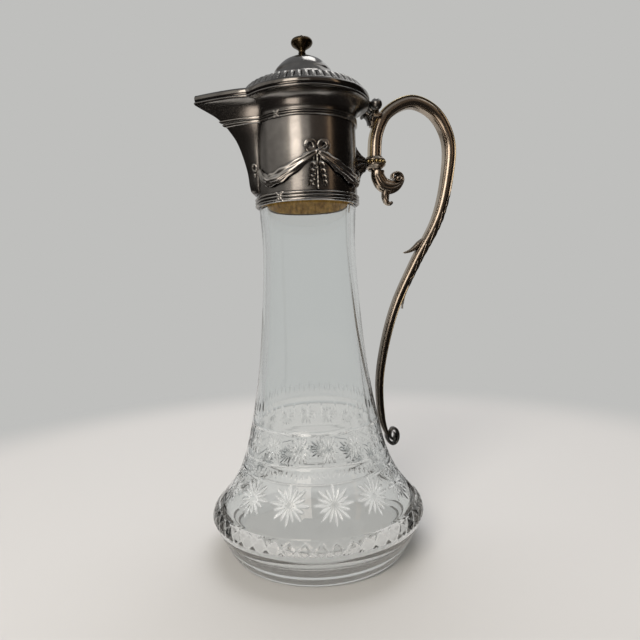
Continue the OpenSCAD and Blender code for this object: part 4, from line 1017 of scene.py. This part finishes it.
# Hinge saddle: a cast block, moulded round its sides and soldered on the handle's limb. It carries the
# hinge's two outer knuckles, which are bored for the pin.
pin_low, pin_high = box_of("hinge_pin")
hinge_x, hinge_z = (pin_low[0] + pin_high[0]) / 2, (pin_low[2] + pin_high[2]) / 2
barrel_r, barrel_l, knuckle_l, knuckle_gap, pin_r = 2.7, 12, 4, 0.2, 1.0
knuckle_side = (barrel_l - knuckle_l) / 2 - knuckle_gap


def block(levels, steps=1, corner=6):
    """A block of rounded rectangles: each level gives its height, its ends along X and its half width,
    and the corners follow a squared-off ellipse."""
    z, x0, x1, half = smooth_line(levels, steps).T[:, :, None]
    c, s = (squared(wave(around(48)), 2 / corner) for wave in (np.cos, np.sin))
    return skin(grid((x0 + x1) / 2 + (x1 - x0) / 2 * c, half * s, z))


def knuckle(y0, y1, radius, bore):
    """A hinge knuckle: a tube along Y with its edges broken."""
    ease = 0.25
    profile = [[bore, y0], [radius - ease, y0], [radius, y0 + ease], [radius, y1 - ease],
               [radius - ease, y1], [bore, y1]]
    return skin(turned_across(profile, 48, hinge_x, hinge_z), closed=True)


saddle_top = hinge_z - barrel_r - 0.8
saddle_low = hinge_z - 10.6
saddle = [block([[saddle_low, limb_x - 2.4, limb_x + 2.6, 2.6],
                 [saddle_low + 2.4, limb_x - 2.2, limb_x + 2.7, 2.7],
                 [saddle_top - 2.6, hinge_x - 1.2, hinge_x + 3.9, 3.5],
                 [saddle_top - 1.7, hinge_x - 1.1, hinge_x + 4.5, 4.4]], 6),
          block([[saddle_top - 1.75, hinge_x - 1.1, hinge_x + 4.5, 5.5],
                 [saddle_top - 1.5, hinge_x - 1.35, hinge_x + 4.7, 5.9],
                 [saddle_top - 0.3, hinge_x - 1.35, hinge_x + 4.7, 5.9],
                 [saddle_top, hinge_x - 1.1, hinge_x + 4.5, 5.6]])]
for way in (-1, 1):
    inner, outer = sorted((way * (barrel_l / 2 - knuckle_side), way * barrel_l / 2))
    saddle += [knuckle(inner, outer, barrel_r, pin_r)]
    foot = block([[saddle_top - 0.4, hinge_x - 0.9, hinge_x + 2.5, knuckle_side / 2],
                  [hinge_z - 1.2, hinge_x - 0.9, hinge_x + 2.5, knuckle_side / 2]])
    saddle += [(foot[0] + [0, (inner + outer) / 2, 0], foot[1])]
piece("saddle", joined(*saddle), handle_metal, "worn_plate", "hinge_saddle", crease=50)

# Hinge pin and balls: a drawn steel wire driven through the three knuckles, with a turned ball fixed on
# each end to keep it in.
# Steel drawn through a die, with no plate: a plain duller grey
steel = silver_plate("drawn_steel", "#a7a6a3", "#6d6b69", film=0.4, rough=0.3, recess=0.6)
pin_profile = [[0.3, pin_low[1]], [pin_r, pin_low[1] + 0.2], [pin_r, pin_high[1] - 0.2], [0.3, pin_high[1]]]
piece("pin", skin(turned_across(pin_profile, 32, hinge_x, hinge_z)), steel, "plate", "hinge_pin")
for side, way in (("near", -1), ("far", 1)):
    ball_low, ball_high = box_of(f"hinge_ball_{side}")
    ball_r = (ball_high[2] - ball_low[2]) / 2
    start, end = sorted(np.abs([ball_low[1], ball_high[1]]))
    rise = np.linspace(math.asin(max(-1, (start - end + ball_r) / ball_r)), np.pi / 2 - 0.05, 22)
    profile = np.stack([ball_r * np.cos(rise), (end - ball_r) + ball_r * np.sin(rise)], 1)
    piece(f"ball_{side}", skin(turned_across(profile, 48, hinge_x, hinge_z, way)), steel, "plate",
          f"hinge_ball_{side}")

# Lid plate and band: a sheet cut to the plan of the mouth and its point, with a plain convex band
# soldered round its edge. It carries the border and the dome.
lid_low, lid_high = box_of("lid_rim")
lid_r, lid_z, lid_top = lid_high[1], lid_low[2], lid_high[2]
band_h = lid_top - lid_z
crown = np.radians(np.linspace(-50, 68, 15))
crown_rise = (np.sin(crown) - np.sin(crown[0])) / (np.sin(crown[-1]) - np.sin(crown[0]))
rim_section = np.vstack([[[-sheet_t, lid_z]],
                         np.stack([-0.9 * (1 - np.cos(crown)), lid_z + band_h * crown_rise], 1),
                         [[-sheet_t, lid_top]]])
# Rubbed down with a polished tool: the smoothest of the plate, so it mirrors most sharply
burnished = silver_plate("burnished_silver_plate", "#a3a09c", "#64615d", film=0.5, rough=0.13, recess=0.85,
                         reach=3)
piece("lid_band", skin(round_mouth(lid_r, rim_section), closed=True), burnished, "plate", "lid_rim",
      body="lid")
plate_top = lid_top - 0.1
dome_foot_r = lid_r - 5


def plate_surface():
    """Plate between its round hole and an edge inside the band, the outline shrunk by the band's
    thickness: the rings run from the hole to the edge on top, down it and back below."""
    edge = mouth_line(lid_r) * (1 - (sheet_t + seam) / lid_r)
    middle = edge / np.linalg.norm(edge, axis=1, keepdims=True)
    hole = middle * (dome_foot_r - sheet_t - 1)
    rings = [np.column_stack([hole + (edge - hole) * s, np.full(len(edge), z)])
             for s, z in ((0, plate_top), (0.5, plate_top), (1, plate_top),
                          (1, plate_top - sheet_t), (0.5, plate_top - sheet_t), (0, plate_top - sheet_t))]
    return skin(np.array(rings), closed=True)


piece("lid_sheet", plate_surface(), burnished, "plate", "lid_plate", body="lid")

# Lid hinge leaf: a strap soldered on the edge of the lid and rolled at its end into the middle knuckle,
# which turns on the pin between the saddle's two.
leaf_x, leaf_top = lid_r + 0.05, lid_top + 2.2
half_leaf = knuckle_l / 2


def side_block(outline, half):
    """A flat shape in the plane of the handle, from a convex outline (along X, height) and its half
    width along Y at each point; towards its two sides it shrinks a little about its middle."""
    points = np.asarray(outline, float)
    middle = points.mean(0)
    flat = middle + (points - middle) * np.array([0.9, 1, 1, 0.9])[:, None, None]
    return skin(grid(flat[..., 0], np.outer([-1, -0.9, 0.9, 1], half), flat[..., 1]))


hinge_leaf = [
    knuckle(-half_leaf, half_leaf, barrel_r, pin_r + 0.04),
    side_block([[leaf_x + 0.1, hinge_z + 0.4], [hinge_x, hinge_z + 0.9],
                [hinge_x + 0.8, hinge_z + barrel_r - 0.2], [leaf_x + 0.5, leaf_top - 0.8],
                [leaf_x + 0.1, leaf_top - 0.8]], [half_leaf - 0.1] * 5),
    side_block([[lid_r - 1.4, lid_top + seam], [leaf_x + 0.7, lid_top - 0.6], [leaf_x + 0.7, leaf_top - 0.8],
                [leaf_x + 0.1, leaf_top - 0.6], [lid_r - 1.4, lid_top + 0.7]],
               [5.5, half_leaf, half_leaf, half_leaf + 0.2, 5.5])]
piece("hinge_leaf", joined(*hinge_leaf), dark_casting, "dark_plate", "lid_hinge_leaf", body="lid", crease=50)

# Bezel: a short ring of sheet soldered under the lid, open towards the spout. It centres the lid in the
# mouth when it is shut.
bezel_low, bezel_high = box_of("lid_bezel")
bezel_r = bezel_high[1]
bezel_out, bezel_z = np.array([[0, bezel_low[2] + 0.2], [0, bezel_high[2]], [-sheet_t, bezel_high[2]],
                               [-sheet_t, bezel_low[2]], [-0.2, bezel_low[2]]]).T
bezel_a = np.radians(np.linspace(-135, 135, 160))[:, None]
piece("bezel", skin(polar(bezel_r + bezel_out, bezel_a, bezel_z)), spun_plate, "plate", "lid_bezel",
      body="lid")

# Gadrooned border: stamped from sheet in a die and soldered on the lid's plate, a convex ring of lobes
# with dark gaps between them.
border_w, border_h, border_flat = 4.8, box_of("lid_border")[1][2] - lid_top - seam, 0.33
border_ri = lid_r - 0.8 - border_w
gadroons, lobe_deep = 56, 1.6
# Stamped in a die: pale on the crowns of the lobes, black in the gaps between them from tarnish and painted
# shade
border_plate = silver_plate("die_stamped_plate", "#b3b0ab", "#686561", film=0.5, rough=0.24, recess=0.95)


def border_surface(per_lobe=10):
    """The border's profile, bulged by lobes: across a lobe the surface is a round arch, and the gap
    between two lobes is sunk, most in the middle of the border's width."""
    a = around(gadroons * per_lobe)[:, None]
    t = np.linspace(0, 1, 15)
    flat = (1 - np.sin(np.pi / 2 * t)) * (1 - border_flat) + np.cos(np.pi / 2 * t) * border_flat
    across = np.abs(((a * gadroons / (2 * np.pi)) % 1) * 2 - 1)
    arch = np.sqrt(np.clip(1 - across ** 2, 0, 1))
    sink = lobe_deep * (1 - arch) * np.clip(np.sin(np.pi * (0.02 + 0.96 * t)), 0, 1) ** 0.5
    slant = math.hypot(border_w, border_h)
    r = border_ri + border_w * flat - sink * border_h / slant
    z = lid_top + seam + border_h * np.sin(np.pi / 2 * t) - sink * border_w / slant
    under_r = np.array([border_ri - 0.3, (border_ri + dome_foot_r) / 2, dome_foot_r + seam]) + 0 * a
    under_z = np.array([lid_top + border_h - 0.9, lid_top + border_h / 2 - 0.3, lid_top + seam]) + 0 * a
    return skin(polar(np.hstack([r, under_r]), a, np.hstack([z, under_z])), closed=True)


piece("gadroon_border", border_surface(), border_plate, "plate", "lid_border", body="lid", crease=50)

# Dome: the middle of the lid, raised from one sheet into a cone under the border, a cove and a dome
# with a hole for the finial's stud.
dome_top, dome_r = box_of("lid_dome")[1][2], 16.4
border_z = lid_top + border_h
dome_h = dome_top + 0.1 - border_z
stud_r = 1.6
dome_side = smooth_line([[border_ri - 0.35, border_z], [border_ri * 0.6 + dome_r * 0.4, border_z + 1.9],
                         [dome_r + 3.6, border_z + dome_h * 0.23], [dome_r + 0.9, border_z + dome_h * 0.4],
                         [dome_r - 0.3, border_z + dome_h * 0.555], [dome_r * 0.72, dome_top - 4.3],
                         [dome_r * 0.4, dome_top - 1.4], [3.4, dome_top]], 10)
dome_way = direction(dome_side)
dome_inside = dome_side - np.stack([dome_way[:, 1], -dome_way[:, 0]], 1) * sheet_t
dome_profile = np.vstack([[[dome_foot_r, lid_top + seam], [border_ri - 0.35, border_z - 1]], dome_side,
                          [[stud_r + seam, dome_top], [stud_r + seam, dome_top - 1.2 * sheet_t]],
                          dome_inside[::-1], [[border_ri - 0.35 - sheet_t, border_z - 1.4],
                                              [dome_foot_r - 1.4, lid_top + seam]]])
piece("dome", skin(turned(dome_profile, 192), closed=True), burnished, "plate", "lid_dome", body="lid")

# Finial: turned from nickel silver and plated, its plate browned by handling; a stud goes through the
# dome into a nut on the inside.
finial_low, finial_high = box_of("finial")
finial_z, finial_h = dome_top + seam, finial_high[2] - dome_top - seam
knob_r = (finial_high[1] - finial_low[1]) / 2
# Plate gone brown under fingers: warm and dark, bright only where it catches a lamp
browned = silver_plate("browned_silver_plate", "#7f6e52", "#2e2822", film=0.6, rough=0.24, recess=0.6)
finial_side = smooth_line(np.array([[3.4, 0], [2.4, 0.1], [2, 0.2], [2.5, 0.31], [knob_r * 0.66, 0.41],
                                    [knob_r * 0.9, 0.51], [knob_r, 0.63], [knob_r * 0.9, 0.76],
                                    [knob_r * 0.56, 0.84], [knob_r * 0.26, 0.89], [0.9, 0.94], [0.6, 0.985],
                                    [0.2, 1]]) * [1, finial_h] + [0, finial_z], 8)
nut_low = box_of("finial_nut")[0][2]
stud = [[0.3, finial_low[2]], [stud_r, finial_low[2] + 0.3], [stud_r, finial_z]]
finial = skin(turned(np.vstack([stud, finial_side]), 96))
piece("finial_knob", finial, browned, "dark_plate", "finial", body="lid")


def turned_brass():
    """Turned brass that nobody polishes: dull, with a few brown stains."""
    material, tree, place = new_material("turned_brass")
    # Stains about 2 mm across
    stains = add(tree, "TexNoise", {"Vector": place, "Scale": 1 / (2 * METRE), "Detail": 5.0})
    colour = add(tree, "Mix", {"Factor": stains, "A": linear("#c4a25a"), "B": linear("#7a5f30")},
                 data_type="RGBA")
    body = add(tree, "BsdfPrincipled", {"Base Color": colour, "Metallic": 1.0, "Roughness": 0.38})
    add(tree, "OutputMaterial", {"Surface": body})
    return material


nut_r, nut_bore, nut_top = 3.2, stud_r + 0.02, nut_low + 2.4
nut_profile = [[nut_bore, nut_low], [nut_r - 0.4, nut_low], [nut_r, nut_low + 0.3], [nut_r, nut_top - 0.3],
               [nut_r - 0.4, nut_top], [nut_bore, nut_top]]
piece("stud_nut", skin(turned(nut_profile, 6), closed=True), turned_brass(), "brass", "finial_nut",
      body="lid", crease=30)

# Floor, lamps and camera: a pale floor that fades into a plain backdrop, two soft lamps, and the cards
# that only the metal and the glass mirror: a tall bright opening on the left of the camera, dim sides, a
# grey ceiling and the dark beyond the floor.
CAMERA_AT = np.array([-64.1, -306.7, 158.7])
CAMERA_TURN, CAMERA_TILT, CAMERA_ROLL, CAMERA_LENS = 12.71, -4.27, -2.01, 29.53
BACKDROP = linear("#bfbfbd")


def stage_card(name, points, material):
    """A flat or bent card of the studio, from a grid of points in millimetres."""
    number = np.arange(points.size // 3).reshape(points.shape[:2])
    mesh = bpy.data.meshes.new(name)
    mesh.from_pydata((points.reshape(-1, 3) * METRE).tolist(), [],
                     quads_between(number[:-1], number[1:], False).tolist())
    mesh.materials.append(material)
    card = bpy.data.objects.new(name, mesh)
    bpy.context.scene.collection.objects.link(card)
    return card


def level(x0, x1, y0, y1, z):
    """Points of a level card between two places along X and two along Y."""
    return np.array([[[x0, y0, z], [x1, y0, z]], [[x0, y1, z], [x1, y1, z]]], float)


def directly_seen(tree, path):
    """1 for a ray from the camera or out of the glass, and 0 for any other."""
    return add(tree, "Math", {0: path.outputs["Is Camera Ray"], 1: path.outputs["Is Transmission Ray"]},
               operation="MAXIMUM")


def pale_paper(code, near, far, through):
    """Matt paper that takes the object's shadow. Seen through the glass, which lets no light on to it
    here, a share of it is as bright as it is written. It fades into the backdrop between two distances
    from the jug, in millimetres."""
    material, tree, place = new_material("pale_paper")
    path = add(tree, "LightPath")
    away = add(tree, "VectorMath", {0: place}, operation="LENGTH")
    fade = add(tree, "MapRange", {"Value": away, "From Min": near * METRE, "From Max": far * METRE},
               interpolation_type="SMOOTHSTEP")
    beyond = add(tree, "Math", {0: fade, 1: directly_seen(tree, path)}, operation="MULTIPLY")
    glow = add(tree, "Math", {0: path.outputs["Is Transmission Ray"], 1: through}, operation="MULTIPLY")
    matt = add(tree, "BsdfDiffuse", {"Color": linear(code)})
    plain = add(tree, "Emission", {"Color": linear(code)})
    paper = add(tree, "MixShader", {0: glow, 1: matt, 2: plain})
    backdrop = add(tree, "Emission", {"Color": BACKDROP})
    add(tree, "OutputMaterial", {"Surface": add(tree, "MixShader", {0: beyond, 1: paper, 2: backdrop})})
    return material


floor_reach = 4000
stage_card("floor", level(-floor_reach, floor_reach, -floor_reach, floor_reach, 0),
           pale_paper("#cac7c3", 330, 470, 0.62))

world = bpy.data.worlds.new("studio")
world.use_nodes = True
sky = world.node_tree
sky.nodes.clear()
path = add(sky, "LightPath")
seen = add(sky, "Math", {0: directly_seen(sky, path), 1: path.outputs["Is Glossy Ray"]}, operation="MAXIMUM")
backdrop = add(sky, "Background", {"Color": BACKDROP})
ambient = add(sky, "Background", {"Color": linear("#e6e6e4"), "Strength": 0.5})
add(sky, "OutputWorld", {"Surface": add(sky, "MixShader", {0: seen, 1: ambient, 2: backdrop})})
bpy.context.scene.world = world


def soft_lamp(name, azimuth, distance, height, size, power, code):
    """Square area lamp that faces the jug from an azimuth round it; the metal mirrors the cards in its
    place."""
    data = bpy.data.lights.new(name, "AREA")
    data.size, data.energy, data.color = size * METRE, power, linear(code)[:3]
    lamp = bpy.data.objects.new(name, data)
    a = math.radians(azimuth)
    lamp.location = Vector((distance * math.cos(a), distance * math.sin(a), height)) * METRE
    aim = Vector((0, 0, 150)) * METRE - lamp.location
    lamp.rotation_euler = aim.to_track_quat("-Z", "Y").to_euler()
    lamp.visible_camera = lamp.visible_glossy = lamp.visible_transmission = False
    bpy.context.scene.collection.objects.link(lamp)


soft_lamp("window_light", -125, 1100, 900, 700, 13, "#fffaf2")
soft_lamp("ceiling_light", 70, 500, 1300, 1000, 12, "#f6f8ff")


def mirrored(name, points, code, strength=1.0):
    """Card that is only mirrored: it looks as bright as it is written, and neither lights the object nor
    shades it. A mirror seen through the glass shows mostly plain grey in its place."""
    material, tree = new_material(name)[:2]
    depth = add(tree, "LightPath").outputs["Transmission Depth"]
    inside = add(tree, "MapRange", {"Value": depth, "To Max": 0.75})
    glow = add(tree, "Emission", {"Color": linear(code), "Strength": strength})
    grey = add(tree, "Emission", {"Color": linear("#b4b4b2")})
    add(tree, "OutputMaterial", {"Surface": add(tree, "MixShader", {0: inside, 1: glow, 2: grey})})
    card = stage_card(name, points, material)
    card.visible_camera = card.visible_diffuse = card.visible_transmission = card.visible_shadow = False


def bent(start, end, radius, low, high):
    """Points of an upright card that follows an arc round the jug, from one azimuth to another."""
    return polar(radius, np.radians(np.linspace(start, end, 13)), np.array([[low], [high]]))


room_r, shelf_z, ceiling_z = 1300, 390, 1400
for name, start, end, radius, low, high, code, strength in (
        ("far_left_wall", -238, -196, room_r, shelf_z, ceiling_z, "#85827e", 1.0),
        ("left_wall", -196, -150, room_r, shelf_z, ceiling_z, "#b4b0ab", 1.0),
        ("wall_left_of_window", -150, -133, room_r, shelf_z, ceiling_z, "#d6d0c8", 1.0),
        ("dim_wall", -92, -50, room_r, shelf_z, ceiling_z, "#5d554e", 1.0),
        ("door_post", -50, -43, room_r, shelf_z, ceiling_z, "#d8b898", 1.0),
        ("dark_doorway", -43, 24, room_r, shelf_z, ceiling_z, "#1b1816", 1.0),
        ("wall_right_of_window", -112, -90, room_r, shelf_z, 680, "#e6e0d8", 1.0),
        ("dim_wall_above", -112, -92, room_r, 680, ceiling_z, "#6b625a", 1.0),
        ("shelves_on_the_left", -238, -150, room_r - 10, 2, 430, "#2a2725", 1.0),
        ("shelves_below_the_window", -150, -90, room_r, 2, shelf_z, "#34302d", 1.0),
        ("shelves_on_the_right", -90, 24, room_r, 2, shelf_z, "#1f1c1a", 1.0),
        ("window", -133.5, -111.5, 900, 345, 900, "#fff4e8", 3.6),
        ("window_sill", -132.5, -112.5, 900, 2, 90, "#fff0e2", 2.2)):
    mirrored(name, bent(start, end, radius, low, high), code, strength)
ground_arc = np.radians(np.linspace(-140.5, -113.5, 13))
mirrored("light_on_the_ground", polar(np.array([[255], [880]]), ground_arc, 3), "#fff0e2", 1.8)
for name, points, code, strength in (
        ("ceiling", level(-1600, 700, -1600, 1600, ceiling_z), "#929395", 1.0),
        ("bright_ceiling", level(700, 1600, -400, 1600, ceiling_z), "#f0f1f2", 1.1),
        ("ceiling_lamp", level(100, 480, 200, 700, ceiling_z - 10), "#ffffff", 3.2),
        ("ground_left", level(-1300, -150, -1300, 500, 1.5), "#2b2826", 1.0),
        ("ground_front", level(-150, 130, -1300, -90, 1.5), "#2b2826", 1.0),
        ("ground_right", level(130, 1300, -1300, 500, 1.5), "#2b2826", 1.0)):
    mirrored(name, points, code, strength)

camera_data = bpy.data.cameras.new("camera")
camera_data.lens, camera_data.sensor_width = CAMERA_LENS, 36
camera = bpy.data.objects.new("camera", camera_data)
bpy.context.scene.collection.objects.link(camera)
yaw, tilt = math.radians(CAMERA_TURN), math.radians(CAMERA_TILT)
ahead = Vector((math.sin(yaw) * math.cos(tilt), math.cos(yaw) * math.cos(tilt), math.sin(tilt)))
right = Vector((math.cos(yaw), -math.sin(yaw), 0))
up = right.cross(ahead)
roll = math.radians(CAMERA_ROLL)
right, up = right * math.cos(roll) + up * math.sin(roll), up * math.cos(roll) - right * math.sin(roll)
camera.matrix_world = Matrix.Translation(Vector(CAMERA_AT) * METRE) @ Matrix(
    (right, up, -ahead)).transposed().to_4x4()
bpy.context.scene.camera = camera
bpy.context.scene.view_settings.view_transform = "Standard"
